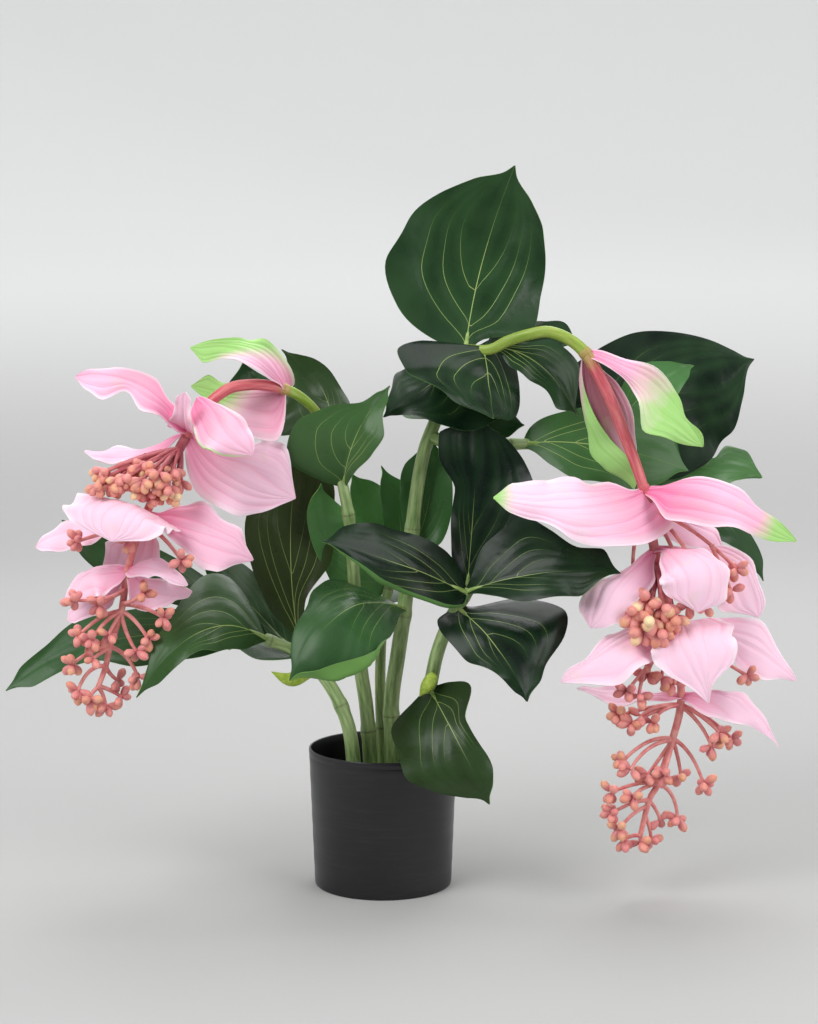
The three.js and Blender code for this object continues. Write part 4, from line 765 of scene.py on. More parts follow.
for name, row in limbRows.items():
    flower = name.endswith("Peduncle")
    skin = stalkSkin if flower else stemSkin
    makePiece(pieceName("skinned", name), [makeLimb(row)], [skin], name, 70)
print("stems made")

# Each leaf: its rib from foot through middle to tip, the way its face looks, its half widths at the stations
# on both sides, and how it folds, curls, rolls its hem, waves and is coloured. A pair is left and right.
# A leaf's tone is partly its own green and partly painted shade: leaves that lie in shadow are given a
# darker tone.
leafRows = {
    "top": dict(
        rib=[(77, 3, 505), (93, 34, 586), (123, 26, 675)], face=(0, -1, 0.15),
        left=(31, 68, 87, 78, 57, 27), right=(14, 60, 64, 57, 48, 22), curl=(14, 22), lobe=0.35, wave=4,
        waves=1.5, phase=0.1, tone=0.18, veined=1.0,
    ),
    "topFront": dict(
        rib=[(94, -7, 508), (98, -24, 474), (101, -46, 445)], face=(0.62, -0.67, 0.4),
        left=(36, 40, 38, 36, 34, 20), right=(68, 88, 84, 68, 52, 34), fold=(-2, -10), curl=(-4, -6),
        lobe=(1.25, 0.12), wave=4, waves=1.4, phase=0.2, tone=0.07, veined=1.0,
    ),
    "topUnder": dict(
        rib=[(72, 3, 488), (38, -6, 469), (1, -14, 444)], face=(-0.15, -0.85, 0.5),
        left=(58, 61, 51, 40, 15, 5), right=(13, 21, 36, 37, 21, 10), fold=(-10, -14), wave=4, waves=1.4,
        tone=0.04,
    ),
    "topUnderRight": dict(
        rib=[(73, 4, 488), (104, 10, 454), (132, 4, 435)], face=(0, -0.9, 0.4), left=(4, 6, 10, 9, 5, 2),
        right=(6, 16, 28, 26, 23, 17), fold=-10, wave=2, phase=0.4, tone=0.11,
    ),
    "topRight": dict(
        rib=[(79, -4, 505), (136, -10, 498), (181, -8, 444)], face=(0.1, -0.9, 0.4),
        left=(4, 4, 11, 31, 30, 10), right=(4, 4, 17, 17, 12, 15), fold=-8, phase=0.3, tone=0.13,
        veined=1.0,
    ),
    "topRightBack": dict(
        rib=[(81, 2, 499), (144, 36, 526), (183, 38, 508)], face=(0, -0.8, 0.6), left=(4, 4, 4, 5, 10, 3),
        right=(4, 16, 26, 30, 28, 26), fold=(10, -4), wave=2, tone=0.09,
    ),
    "rightBack": dict(
        rib=[(210, 57, 421), (286, 80, 476), (359, 92, 492)], face=(0.05, -0.9, 0.35),
        left=(50, 76, 66, 50, 27, 9), right=(60, 84, 82, 74, 60, 34), fold=(-12, 0), curl=(-6, 4),
        waves=1.6, tone=0.05,
    ),
    "rightInner": dict(
        rib=[(217, 51, 417), (253, 40, 469), (295, 50, 488)], face=(0, -0.8, 0.6),
        left=(4, 14, 21, 22, 12, 3), right=(4, 4, 20, 27, 19, 11), fold=8, wave=2, tone=0.7,
    ),
    "rightMid": dict(
        rib=[(132, 9, 417), (203, 2, 416), (286, 10, 392)], face=(0, -0.85, 0.5),
        left=(15, 27, 38, 48, 42, 28), right=(8, 24, 37, 37, 32, 19), fold=(4, -4), waves=1.6, phase=0.6,
        tone=0.6, olive=0.15, veined=1.0,
    ),
    "rightLow": dict(
        rib=[(253, 50, 378), (308, 54, 390), (364, 62, 380)], face=(0, -0.5, 0.87),
        left=(4, 4, 4, 11, 39, 33), right=(16, 28, 25, 28, 16, 4), fold=(8, -8), curl=(0, -14), wave=5,
        waves=1.8, tone=0.8, olive=0.2,
    ),
    "rightDown": dict(
        rib=[(291, 51, 358), (335, 66, 331), (370, 80, 277)], face=(0.1, -0.85, 0.5),
        left=(5, 9, 19, 17, 14, 9), right=(2, 13, 19, 14, 5, 4), fold=-5, wave=2, tone=0.21,
    ),
    "centreUp": dict(
        rib=[(78, -36, 285), (84, -22, 362), (90, -10, 446)], face=(0, -1, 0.12),
        left=(7, 17, 20, 18, 36, 36), right=(12, 30, 48, 58, 44, 24), fold=4, curl=(10, 16), lobe=0.2,
        wave=4, waves=1.6, phase=0.45, tone=0.0,
    ),
    "centreRight": dict(
        rib=[(79, -44, 286), (143, -68, 306), (215, -80, 308)], face=(0, -0.85, 0.52),
        left=(13, 39, 53, 38, 22, 21), right=(7, 18, 28, 29, 30, 8), fold=(12, 22), curl=(8, -8), wave=4,
        waves=1.6, tone=0.05, veined=0.85,
    ),
    "lowRight": dict(
        rib=[(69, -43, 271), (105, -90, 240), (130, -112, 197)], face=(0.1, -0.82, 0.55),
        left=(14, 60, 84, 66, 36, 18), right=(23, 30, 28, 21, 11, 5), fold=(-8, -4), curl=(-8, -10),
        lobe=0.5, wave=5, waves=1.8, phase=0.1, tone=0.01, veined=0.9,
    ),
    "centreLeft": dict(
        rib=[(77, -45, 285), (11, -88, 319), (-52, -112, 341)], face=(0, -0.85, 0.52),
        left=(22, 32, 32, 34, 14, 4), right=(17, 29, 31, 32, 24, 16), fold=(4, 6), hem=(155, 0), wave=4,
        phase=0.7, tone=0.02, veined=0.85,
    ),
    "lowLeft": dict(
        rib=[(20, -3, 263), (-34, -82, 273), (-82, -106, 215)], face=(0, -0.8, 0.6),
        left=(10, 28, 46, 60, 72, 60), right=(56, 58, 50, 34, 26, 12), fold=(-6, -14), curl=(-6, -14),
        hem=(165, 0), hemFrom=(1.25, 0.45), hemSpan=0.2, waves=1.5, tone=0.34, veined=0.85,
    ),
    "potFront": dict(
        rib=[(44, -45, 195), (69, -92, 156), (97, -106, 102)], face=(-0.1, -1, 0.2),
        left=(19, 34, 16, 16, 18, 10), right=(19, 49, 55, 54, 39, 15), fold=6, lobe=0.35, wave=5,
        waves=1.6, phase=0.35, tone=0.12, olive=0.3, veined=0.85,
    ),
    "leftUp": dict(
        rib=[(-36, -14, 380), (-23, -34, 430), (7, -20, 473)], face=(-0.1, -1, 0.25),
        left=(24, 56, 56, 36, 10, 5), right=(6, 12, 24, 26, 14, 8), fold=(24, 28), curl=(-16, -12),
        wave=2, waves=1.4, tone=0.58, olive=0.3, veined=0.9,
    ),
    "leftBack": dict(
        rib=[(-50, 8, 427), (-58, 52, 465), (-97, 60, 503)], face=(0.1, -1, 0.2),
        left=(15, 55, 44, 35, 21, 8), right=(15, 20, 18, 17, 13, 5), fold=-4, waves=1.6, tone=0.18,
        olive=0.3,
    ),
    "leftBackFar": dict(
        rib=[(-48, 5, 419), (-108, 86, 455), (-136, 94, 490)], face=(0.1, -0.9, 0.4),
        left=(4, 11, 25, 25, 27, 26), right=(4, 13, 19, 13, 8, 3), fold=6, waves=2.2, tone=0.15,
    ),
    "leftTall": dict(
        rib=[(-77, -4, 218), (-87, 10, 326), (-76, 22, 420)], face=(0.05, -1, 0.05),
        left=(4, 23, 38, 42, 28, 13), right=(6, 11, 37, 42, 38, 23), fold=8, lobe=0.2, waves=1.4,
        tone=0.12, olive=0.7, veined=0.95,
    ),
    "backLeft": dict(
        rib=[(5, 41, 284), (-51, 8, 327), (-57, -1, 381)], face=(0.1, -1, 0.1),
        left=(34, 32, 20, 14, 11, 6), right=(4, 10, 20, 24, 23, 13), fold=8, wave=2, tone=1.0, olive=0.15,
    ),
    "backMid": dict(
        rib=[(6, 44, 281), (-13, 70, 330), (-31, 84, 382)], face=(0, -1, 0.2),
        left=(8, 15, 19, 17, 10, 5), right=(4, 11, 21, 27, 25, 15), fold=4, tone=1.0,
    ),
    "backCentre": dict(
        rib=[(7, 42, 285), (16, 44, 339), (-2, 56, 392)], face=(0.1, -1, 0.1),
        left=(5, 12, 16, 15, 13, 7), right=(4, 8, 15, 18, 17, 5), tone=0.6,
    ),
    "backRight": dict(
        rib=[(26, 13, 311), (44, 22, 366), (46, 26, 423)], face=(0, -1, 0.1),
        left=(5, 17, 26, 30, 26, 12), right=(10, 22, 24, 20, 15, 5), fold=6, wave=2.5, tone=0.62,
    ),
    "farLeftFront": dict(
        rib=[(-110, -8, 236), (-167, -50, 249), (-223, -74, 193)], face=(-0.1, -1, 0.12),
        left=(11, 22, 22, 15, 12, 10), right=(33, 69, 50, 30, 17, 6), fold=(2, -24), curl=(10, -14),
        waves=1.4, tone=0.36, olive=0.25, veined=0.9,
    ),
    "farLeftBack": dict(
        rib=[(-111, -3, 235), (-256, 8, 231), (-353, -14, 187)], face=(-0.05, -0.85, 0.5),
        left=(11, 28, 33, 20, 16, 15), right=(13, 21, 29, 31, 15, 9), fold=(14, -4), waves=1.5, tone=0.35,
    ),
    "leftBehind": dict(
        rib=[(-85, -2, 224), (-133, 56, 262), (-175, 80, 302)], face=(0, -0.9, 0.4),
        left=(4, 14, 15, 15, 13, 9), right=(15, 27, 29, 25, 20, 10), fold=6, tone=0.24,
    ),
    "leftBehindFar": dict(
        rib=[(-110, 1, 235), (-234, 56, 301), (-307, 44, 341)], face=(0.1, -0.9, 0.4),
        left=(4, 15, 29, 32, 25, 13), right=(13, 17, 19, 15, 9, 3), fold=8, tone=0.23,
    ),
    "backHigh": dict(
        rib=[(50, 12, 440), (64, 92, 449), (80, 168, 434)], face=(0, 0.25, 1),
        left=(26, 38, 44, 41, 29, 14), right=(24, 35, 40, 38, 27, 13), wave=4, tone=0.3,
    ),
    "backLow": dict(
        rib=[(3, 36, 262), (-12, 104, 264), (-29, 160, 239)], face=(-0.1, 0.2, 1),
        left=(24, 36, 42, 38, 27, 13), right=(22, 33, 39, 35, 25, 12), wave=4, tone=0.3,
    ),
    "backRightLow": dict(
        rib=[(23, 4, 285), (91, 60, 289), (163, 120, 270)], face=(0.2, 0.1, 1),
        left=(24, 36, 42, 38, 27, 13), right=(22, 33, 39, 35, 25, 12), wave=4, waves=1.6, tone=0.3,
    ),
    "leftBackLow": dict(
        rib=[(-76, -5, 217), (-112, 66, 221), (-137, 130, 200)], face=(-0.2, 0.2, 1),
        left=(24, 36, 42, 38, 27, 13), right=(22, 33, 39, 35, 25, 12), wave=4, tone=0.3,
    ),
    "rightBackLow": dict(
        rib=[(239, 57, 399), (267, 120, 406), (299, 176, 386)], face=(0.2, 0.2, 1),
        left=(22, 34, 39, 36, 26, 12), right=(20, 31, 36, 33, 24, 11), wave=4, waves=1.7, tone=0.3,
    ),
}

leafForm = {
    "grid": (52, 36), "foot": 3, "lobe": 0.3, "thickness": 0.8, "puff": 0.7, "groove": 8, "fullWidth": 28,
    "sideVeins": ((0.02, 0.8), (0.14, 0.62), (0.34, 0.5)), "swing": 0.26, "vein": 0.7, "veined": 0.65,
    "nib": 0.5, "billow": 0.8,
    "ribForm": {
        "reach": 0.9, "steps": 26, "radius": 2.2, "taper": 2.2, "least": 0.35, "sink": 0.95, "sinkBy": 0.16,
        "sides": 10, "slot": 2,
    },
}


# Signed distances in millimetres from the middle vein and from three side veins that leave it and swing out.
def veinDistances(u, v, width, length, turn):
    fields = [v * width]
    for k, (start, far) in enumerate(leafForm["sideVeins"]):
        leave = start + 0.025 * np.sign(v) * math.sin(turn + 2 * k)
        fading = far * np.exp(-(u - leave).clip(0) / leafForm["swing"])
        slope = fading / leafForm["swing"] * width / length
        gap = (np.abs(v) - far + fading) * width + (leave - u).clip(0) * length
        fields.append(gap / np.sqrt(1 + slope**2))
    return np.stack(fields, -1)


def makeLeaf(name, row):
    points, u, v, width, length, normal = bladeGrid(row, leafForm)
    chance = random.Random(name)
    turns = [chance.uniform(0, 6.28) for _ in range(4)]
    lines = veinDistances(u, v, width, length, turns[3])
    nearest = np.abs(lines).min(-1)
    calm = (1 - np.abs(v) ** 5) * np.clip(width / leafForm["fullWidth"], 0, 1)
    puffed = leafForm["puff"] * (1 - np.exp(-((nearest / leafForm["groove"]) ** 2)))
    # soft billows, different on every leaf
    billow = 1.1 * np.sin(9 * u + turns[0]) * np.sin(3.1 * v + turns[1])
    billow = (billow + 0.5 * np.sin(17 * u + 5 * v + turns[2])) * np.sqrt(np.sin(math.pi * u).clip(0))
    lift = calm * (puffed + leafForm["billow"] * billow)
    points = points + gridNormals(points, normal) * lift[..., None]
    shown = row.get("veined", leafForm["veined"])
    values = {
        "veins": lines[..., :3],
        "lastVein": lines[..., 3],
        "blade": np.stack([u * length + 40 * turns[0], v * width + 40 * turns[1], np.abs(v)], -1),
        "tone": np.full(u.shape, row.get("tone", 0.5)),
        "olive": np.full(u.shape, row.get("olive", 0)),
        "fade": leafForm["vein"] * (0.9 * (1.6 - shown) * smooth((u - 0.35) / 0.5) + 0.8 * (1 - shown)),
    }
    skins = bladeSkins(points, gridNormals(points, normal), leafForm["thickness"], values)
    rib = bladeRib(points, u, normal, leafForm["ribForm"])
    rib["values"]["lane"] = rib["points"][:, (0, 2, 1)] * (0.05, 0.3, 0.3)
    return [skins, rib]


for name, row in leafRows.items():
    skins = [leafTop, leafBelow, ribSkin]
    makePiece(pieceName("blade", name), makeLeaf(name, row), skins, name + "Leaf", 60)
print("leaves made")

leafBudForm = {"steps": 16, "sides": 14, "ridges": 0.08, "scales": 2, "point": 0.25}
leafBudRows = {
    "budLeft": {"path": [(-70, -8, 202), (-86, -30, 201), (-103, -38, 210)], "radius": 5},
    "budRight": {"path": [(48, -54, 210), (41, -60, 201), (34, -60, 191)], "radius": 4.8},
    "budCentre": {"path": [(32, -8, 308), (64, -22, 306), (75, -24, 325)], "radius": 5},
}


# Buds of leaves to come: two folded scales that close to a point.
def makeLeafBud(row):
    shares = np.linspace(0, 1, leafBudForm["steps"])
    swell = 0.55 + 0.75 * np.sin(math.pi * (shares * 0.8 + 0.12))
    radii = row["radius"] * swell * (1 - shares**3) + leafBudForm["point"]
    ring = 0.8 * np.exp(-((shares / 0.1) ** 2))
    line, sides = lineThrough(row["path"], shares), leafBudForm["sides"]
    part = stalk(line, radii, sides, 0, {"ring": ring}, leafBudForm["ridges"], leafBudForm["scales"])
    part["values"]["lane"] = part["points"] * 0.25
    return [part]


for name, row in leafBudRows.items():
    makePiece(name.replace("bud", "shoot"), makeLeafBud(row), [budGreen], name, 70)
print("leaf buds made")


# Each whorl: the stalk and the share along it where it stands, and its bracts, described as leaves are.
# A rib starts at the whorl's foot unless it has its own.
# Some bracts carry a value that darkens their foot and middle: painted shade where their inner face lies in
# shadow.
whorlRows = {
    "leftTopBracts": dict(stalk="leftPeduncle", at=0.33, blush=0.4, foot=(-89, -28, 470), bracts=dict(
        leftTop1=dict(
            rib=[(-119, -54, 506), (-173, -48, 509)], face=(-0.1, -0.7, 0.7),
            left=(5, 11, 15, 15, 13, 15), right=(46, 40, 25, 14, 6, 4), fold=-6, twist=-40,
            lobe=(0.1, 1.0), waves=1.6, rosy=0.12, lime=(-0.62, 2.4, 0.8),
        ),
        leftTop2=dict(
            rib=[(-127, -14, 460), (-177, -4, 472)], face=(0, -0.95, 0.3), left=(20, 44, 36, 22, 9, 5),
            right=(4, 8, 14, 14, 12, 16), fold=6, lime=(-1.0, 2.6, 0.3), dusk=0.3,
        ),
    )),
    "leftShoulderBract": dict(stalk="leftPeduncle", at=0.87, foot=(-167, -50, 463), bracts=dict(
        leftTop3=dict(
            rib=[(-139, -92, 443), (-114, -98, 416)], face=(-0.2, -0.85, 0.5),
            left=(7, 10, 14, 16, 14, 9), right=(15, 22, 28, 27, 20, 10), fold=-6, curl=-10, rosy=0.25,
            lime=(-5.9, 0.6, 6.4), dusk=0.1,
        ),
    )),
    "leftHubBracts": dict(stalk="leftPeduncle", at=0.94, foot=(-175, -53, 434), bracts=dict(
        leftHubUp=dict(
            rib=[(-218, -74, 476), (-273, -76, 484)], face=(0.1, -0.8, 0.6), left=(12, 13, 25, 9, 25, 18),
            right=(4, 6, 17, 11, 10, 7), fold=8, wave=4, waves=2.2, rosy=0.38,
        ),
        leftHubMid=dict(
            rib=[(-177, -74, 447), (-174, -84, 471)], face=(-0.3, -0.9, 0.1), left=(20, 18, 13, 10, 9, 8),
            right=(12, 12, 9, 8, 7, 7), fold=12, wave=1.5, rosy=0.15,
        ),
        leftHubRight=dict(
            rib=[(-129, -48, 391), (-79, -40, 372)], face=(0, -1, 0.3), left=(4, 7, 30, 47, 45, 34),
            right=(14, 27, 35, 32, 21, 8), fold=-4, curl=-8, wave=4, waves=2.4, rosy=0.1, dusk=0.25,
        ),
        leftEdge=dict(
            rib=[(-230, -26, 413), (-273, -30, 413)], face=(0, -0.3, 1), left=(4, 25, 25, 17, 11, 15),
            right=(4, 4, 10, 16, 25, 21), fold=-10, rosy=0.2,
        ),
    )),
    "leftMiddleBracts": dict(stalk="leftRachis", at=0.27, foot=(-215, -49, 357), bracts=dict(
        leftFront=dict(
            rib=[(-227, -96, 371), (-238, -112, 341)], face=(-0.05, -0.8, 0.7),
            left=(40, 44, 44, 44, 42, 34), right=(63, 57, 51, 57, 57, 49), fold=-4, curl=-14, wave=5,
            waves=1.1,
        ),
        leftSideRight=dict(
            rib=[(-160, -64, 345), (-117, -60, 317)], face=(0.1, -0.85, 0.55),
            left=(4, 19, 25, 18, 20, 6), right=(4, 16, 23, 34, 31, 13), fold=-4, wave=4, waves=1.8,
            rosy=0.28,
        ),
        leftSideLeft=dict(
            rib=[(-278, -32, 337), (-320, -26, 324)], face=(-0.1, -0.75, 0.7), left=(4, 4, 15, 13, 10, 8),
            right=(4, 4, 15, 18, 16, 12),
        ),
        leftLowBack=dict(
            rib=[(-232, -8, 304), (-251, 6, 279)], face=(0.1, -1, 0.2), left=(4, 17, 22, 13, 6, 4),
            right=(4, 12, 32, 28, 23, 21),
        ),
    )),
    "leftLowBracts": dict(stalk="leftRachis", at=0.52, foot=(-232, -48, 306), bracts=dict(
        leftLowEdge=dict(
            rib=[(-201, -80, 318), (-174, -88, 298)], face=(0, -0.5, 0.87), left=(23, 14, 4, 4, 5, 3),
            right=(11, 19, 18, 19, 15, 9), fold=-10, waves=1.8,
        ),
        leftLowLeft=dict(
            rib=[(-266, -42, 302), (-291, -42, 278)], face=(-0.1, -0.75, 0.7),
            left=(16, 23, 30, 28, 24, 20), right=(4, 4, 8, 5, 8, 6),
        ),
        leftLowRight=dict(
            rib=[(-203, -38, 283), (-176, -30, 284)], face=(0.1, -0.9, 0.35), left=(4, 7, 12, 14, 12, 7),
            right=(10, 23, 21, 11, 4, 4),
        ),
        leftLowPale=dict(
            rib=[(-265, -30, 276), (-293, -20, 255)], face=(-0.1, -0.9, 0.4), left=(4, 8, 15, 12, 8, 7),
            right=(4, 4, 5, 7, 9, 8), wave=2,
        ),
    )),
    "rightTopBracts": dict(stalk="rightPeduncle", at=0.5, blush=0.4, foot=(185, -36, 504), bracts=dict(
        rightTop1=dict(
            rib=[(250, -64, 467), (289, -66, 421)], face=(0.1, -0.92, 0.4), left=(10, 13, 17, 13, 2, 4),
            right=(4, 4, 16, 38, 26, 14), fold=6, wave=5, waves=1.8, phase=0.2, rosy=0.1,
            lime=(-0.35, 1.9, 0),
        ),
        rightTop2=dict(
            foot=(186, -30, 504), rib=[(220, -24, 431), (231, -30, 379)], face=(-0.2, -1, 0.1),
            left=(5, 14, 16, 10, 6, 4), right=(16, 32, 48, 62, 56, 22), fold=(10, 4), hem=(0, 168),
            hemFrom=(0.75, 0.2), hemSpan=0.25, wave=2, waves=1.4, lime=(-2.3, 3.4, 2.4), dusk=0.85,
        ),
    )),
    "rightHubBracts": dict(stalk="rightPeduncle", at=0.95, foot=(239, -48, 380), bracts=dict(
        rightHubLeft=dict(
            rib=[(176, -98, 369), (99, -112, 380)], face=(0, -0.82, 0.6), left=(40, 44, 37, 29, 12, 11),
            right=(4, 25, 34, 42, 31, 28), fold=(-8, -8), curl=-10, lobe=(0.9, 0.5), wave=4, waves=3,
            rosy=0.08, lime=(-6.4, 7.4, 0),
        ),
        rightHubRight=dict(
            rib=[(305, -82, 378), (371, -88, 338)], face=(0.05, -0.75, 0.7), left=(4, 18, 19, 18, 8, 4),
            right=(14, 33, 33, 29, 22, 13), fold=-8, curl=-8, wave=4, rosy=0.42, lime=(-3.6, 5, 0),
        ),
        rightHubBack=dict(
            rib=[(287, -20, 341), (316, -8, 321)], face=(0, -0.9, 0.35), left=(4, 4, 4, 10, 14, 7),
            right=(4, 24, 21, 15, 8, 3), wave=2,
        ),
    )),
    "rightMiddleBracts": dict(stalk="rightRachis", at=0.2, foot=(249, -48, 325), bracts=dict(
        rightMidLeft=dict(
            rib=[(211, -80, 295), (188, -84, 259)], face=(-0.2, -0.85, 0.45),
            left=(8, 21, 24, 24, 22, 14), right=(4, 4, 12, 24, 24, 18), fold=-6, curl=-10,
        ),
        rightMidFront=dict(
            rib=[(279, -94, 320), (282, -100, 276)], face=(0.1, -0.85, 0.6), left=(4, 14, 22, 31, 32, 29),
            right=(4, 22, 33, 36, 35, 30), fold=-6, curl=-22, wave=2,
        ),
        rightMidRight=dict(
            rib=[(321, -38, 309), (346, -40, 261)], face=(0.2, -0.9, 0.4), left=(4, 4, 15, 17, 12, 10),
            right=(4, 24, 37, 41, 40, 34), fold=-4, waves=1.8,
        ),
    )),
    "rightLowBracts": dict(stalk="rightRachis", at=0.4, foot=(266, -48, 255), bracts=dict(
        rightLowLeft=dict(
            rib=[(211, -88, 243), (161, -98, 212)], face=(-0.1, -0.78, 0.65),
            left=(5, 20, 29, 32, 25, 12), right=(4, 11, 17, 12, 5, 7), fold=(-4, -6), curl=-8,
        ),
        rightLowFront=dict(
            rib=[(280, -98, 250), (292, -108, 195)], face=(0, -0.85, 0.6), left=(43, 45, 41, 37, 31, 6),
            right=(31, 7, 41, 39, 33, 13), fold=-4, curl=-14, wave=6, waves=1.2, rosy=-0.06,
        ),
        rightLowRight=dict(
            rib=[(332, -48, 241), (381, -46, 203)], face=(0.1, -0.87, 0.5), left=(4, 11, 18, 26, 12, 5),
            right=(4, 7, 14, 28, 26, 10), fold=-4, wave=4, waves=1.8,
        ),
    )),
    "rightBaseBracts": dict(stalk="rightRachis", at=0.58, foot=(275, -48, 189), bracts=dict(
        rightBaseRight=dict(
            rib=[(318, -66, 189), (363, -64, 145)], face=(0, -0.6, 0.8), left=(4, 4, 4, 21, 14, 4),
            right=(11, 19, 23, 23, 8, 3), fold=-8, curl=-6, wave=4, waves=2.2,
        ),
        rightBaseLeft=dict(
            rib=[(229, -42, 188), (180, -38, 194)], face=(0, -0.4, 1), left=(6, 4, 11, 19, 10, 6),
            right=(5, 6, 15, 14, 12, 10),
        ),
    )),
}

# Twigs stand in groups: where they leave the stalk, then for each its bend, its end and its count of buds.
headRows = {
    "left": {
        "path": [
            (-177, -54, 429), (-199, -52, 389), (-211, -50, 366), (-221, -48, 343), (-229, -48, 319),
            (-234, -48, 298), (-239, -48, 268), (-250, -48, 235), (-254, -48, 217), (-261, -50, 198),
        ],
        "radii": (3.6, 2.6, 2, 1.3), "crowded": (0, 19), "plump": 1.05,
        "twigs": [
            [
                (-182, -55, 418), ((-214, -74, 415), (-246, -82, 400), 4),
                ((-208, -77, 412), (-233, -88, 393), 4), ((-203, -68, 417), (-224, -72, 404), 4),
                ((-197, -78, 412), (-212, -90, 394), 4), ((-195, -69, 418), (-208, -74, 407), 4),
                ((-190, -78, 415), (-198, -90, 400), 4), ((-186, -76, 409), (-190, -86, 388), 4),
                ((-194, -72, 405), (-205, -78, 380), 3), ((-184, -71, 416), (-186, -76, 402), 3),
                ((-209, -66, 418), (-249, -76, 399), 5),
            ],
            [(-212, -66, 413), ((-225, -78, 405), (-239, -84, 389), 4)],
            [
                (-182, -55, 418), ((-199, -72, 413), (-226, -86, 396), 5),
                ((-194, -66, 413), (-212, -72, 406), 4), ((-191, -76, 404), (-216, -84, 386), 4),
                ((-184, -74, 408), (-199, -86, 391), 5), ((-186, -62, 410), (-194, -68, 402), 4),
                ((-180, -62, 407), (-181, -66, 391), 3), ((-181, -70, 400), (-188, -78, 381), 4),
            ],
            [(-224, -77, 403), ((-241, -82, 401), (-251, -88, 388), 4)],
            [
                (-218, -49, 350), ((-245, -56, 344), (-275, -62, 335), 5),
                ((-225, -60, 345), (-231, -66, 334), 3), ((-194, -80, 342), (-179, -94, 322), 5),
            ],
            [
                (-235, -48, 289), ((-244, -74, 281), (-277, -72, 282), 5),
                ((-244, -58, 284), (-256, -64, 276), 4),
            ],
            [(-238, -48, 276), ((-226, -70, 278), (-216, -76, 290), 4)],
            [(-238, -48, 275), ((-215, -60, 275), (-199, -68, 266), 5)],
            [
                (-239, -48, 268), ((-256, -56, 269), (-275, -62, 249), 5),
                ((-252, -60, 264), (-263, -68, 246), 4),
            ],
            [(-239, -48, 267), ((-245, -58, 258), (-249, -62, 249), 3)],
            [(-239, -48, 268), ((-227, -54, 265), (-214, -58, 245), 5)],
            [(-239, -48, 266), ((-236, -54, 250), (-225, -58, 233), 3)],
            [(-250, -48, 235), ((-266, -54, 235), (-283, -58, 221), 4)],
            [(-250, -48, 234), ((-258, -54, 231), (-264, -58, 226), 2)],
            [(-250, -48, 235), ((-233, -50, 231), (-224, -54, 208), 4)],
            [(-254, -48, 217), ((-270, -52, 220), (-279, -54, 196), 4)],
            [(-254, -48, 216), ((-251, -42, 207), (-245, -38, 202), 3)],
            [
                (-261, -50, 198), ((-267, -52, 194), (-269, -56, 187), 4),
                ((-257, -46, 191), (-255, -46, 180), 4),
            ],
            [(-261, -50, 199), ((-249, -44, 194), (-242, -40, 187), 3)],
        ],
    },
    "right": {
        "path": [
            (241, -48, 373), (244, -48, 352), (249, -48, 325), (257, -48, 292), (266, -48, 255),
            (273, -48, 218), (275, -48, 182), (268, -48, 149), (255, -48, 107), (247, -48, 91),
            (239, -50, 58),
        ],
        "radii": (4, 3, 2.4, 1.3), "crowded": (1, 8), "plump": 1.3,
        "twigs": [
            [(243, -48, 363), ((226, -40, 340), (228, -70, 290), 4)],
            [(253, -48, 304), ((242, -66, 278), (226, -90, 273), 4), ((249, -62, 286), (238, -84, 284), 4)],
            [
                (251, -48, 314), ((246, -76, 283), (240, -94, 270), 5),
                ((251, -74, 294), (253, -90, 280), 4), ((262, -74, 290), (262, -90, 271), 4),
            ],
            [(253, -48, 304), ((245, -68, 280), (234, -92, 258), 3)],
            [(251, -48, 314), ((253, -80, 280), (249, -94, 260), 4)],
            [
                (243, -48, 363), ((275, -36, 320), (276, -86, 281), 3),
                ((290, -36, 325), (290, -86, 280), 2), ((283, -60, 350), (321, -62, 310), 4),
            ],
            [(299, -61, 331), ((308, -64, 309), (317, -64, 290), 3)],
            [
                (267, -48, 247), ((249, -64, 233), (242, -68, 215), 4),
                ((257, -62, 227), (255, -66, 211), 4), ((267, -58, 225), (267, -62, 203), 2),
                ((251, -72, 233), (222, -84, 202), 4),
            ],
            [(242, -72, 225), ((235, -80, 214), (232, -86, 197), 4)],
            [(267, -48, 247), ((296, -56, 234), (332, -68, 212), 3)],
            [
                (275, -48, 181), ((255, -56, 184), (216, -64, 174), 4),
                ((251, -58, 180), (228, -70, 168), 5), ((256, -60, 182), (247, -66, 169), 4),
            ],
            [(265, -52, 181), ((247, -62, 183), (236, -66, 174), 3)],
            [(275, -48, 181), ((292, -54, 175), (309, -62, 158), 4)],
            [(275, -48, 180), ((295, -50, 165), (302, -60, 145), 4)],
            [(275, -48, 181), ((301, -42, 171), (322, -44, 149), 4)],
            [(268, -48, 149), ((246, -54, 155), (222, -60, 132), 5)],
            [(268, -48, 148), ((242, -58, 148), (228, -64, 124), 2)],
            [(268, -48, 149), ((286, -46, 140), (297, -48, 107), 5)],
            [
                (268, -48, 148), ((265, -56, 135), (259, -62, 120), 5),
                ((274, -44, 132), (277, -40, 113), 3), ((258, -48, 133), (245, -54, 117), 3),
            ],
            [
                (255, -48, 107), ((238, -54, 112), (211, -58, 101), 4),
                ((239, -56, 106), (230, -62, 98), 4), ((272, -46, 100), (274, -44, 73), 4),
            ],
            [(247, -48, 91), ((232, -54, 93), (213, -58, 82), 5)],
            [(245, -48, 85), ((233, -52, 83), (219, -58, 67), 4)],
            [(239, -50, 58), ((231, -52, 60), (224, -54, 55), 3), ((239, -50, 54), (239, -52, 52), 3)],
            [(243, -49, 77), ((249, -44, 65), (250, -42, 52), 3)],
            [(247, -48, 91), ((254, -44, 83), (258, -42, 71), 2)],
        ],
    },
}

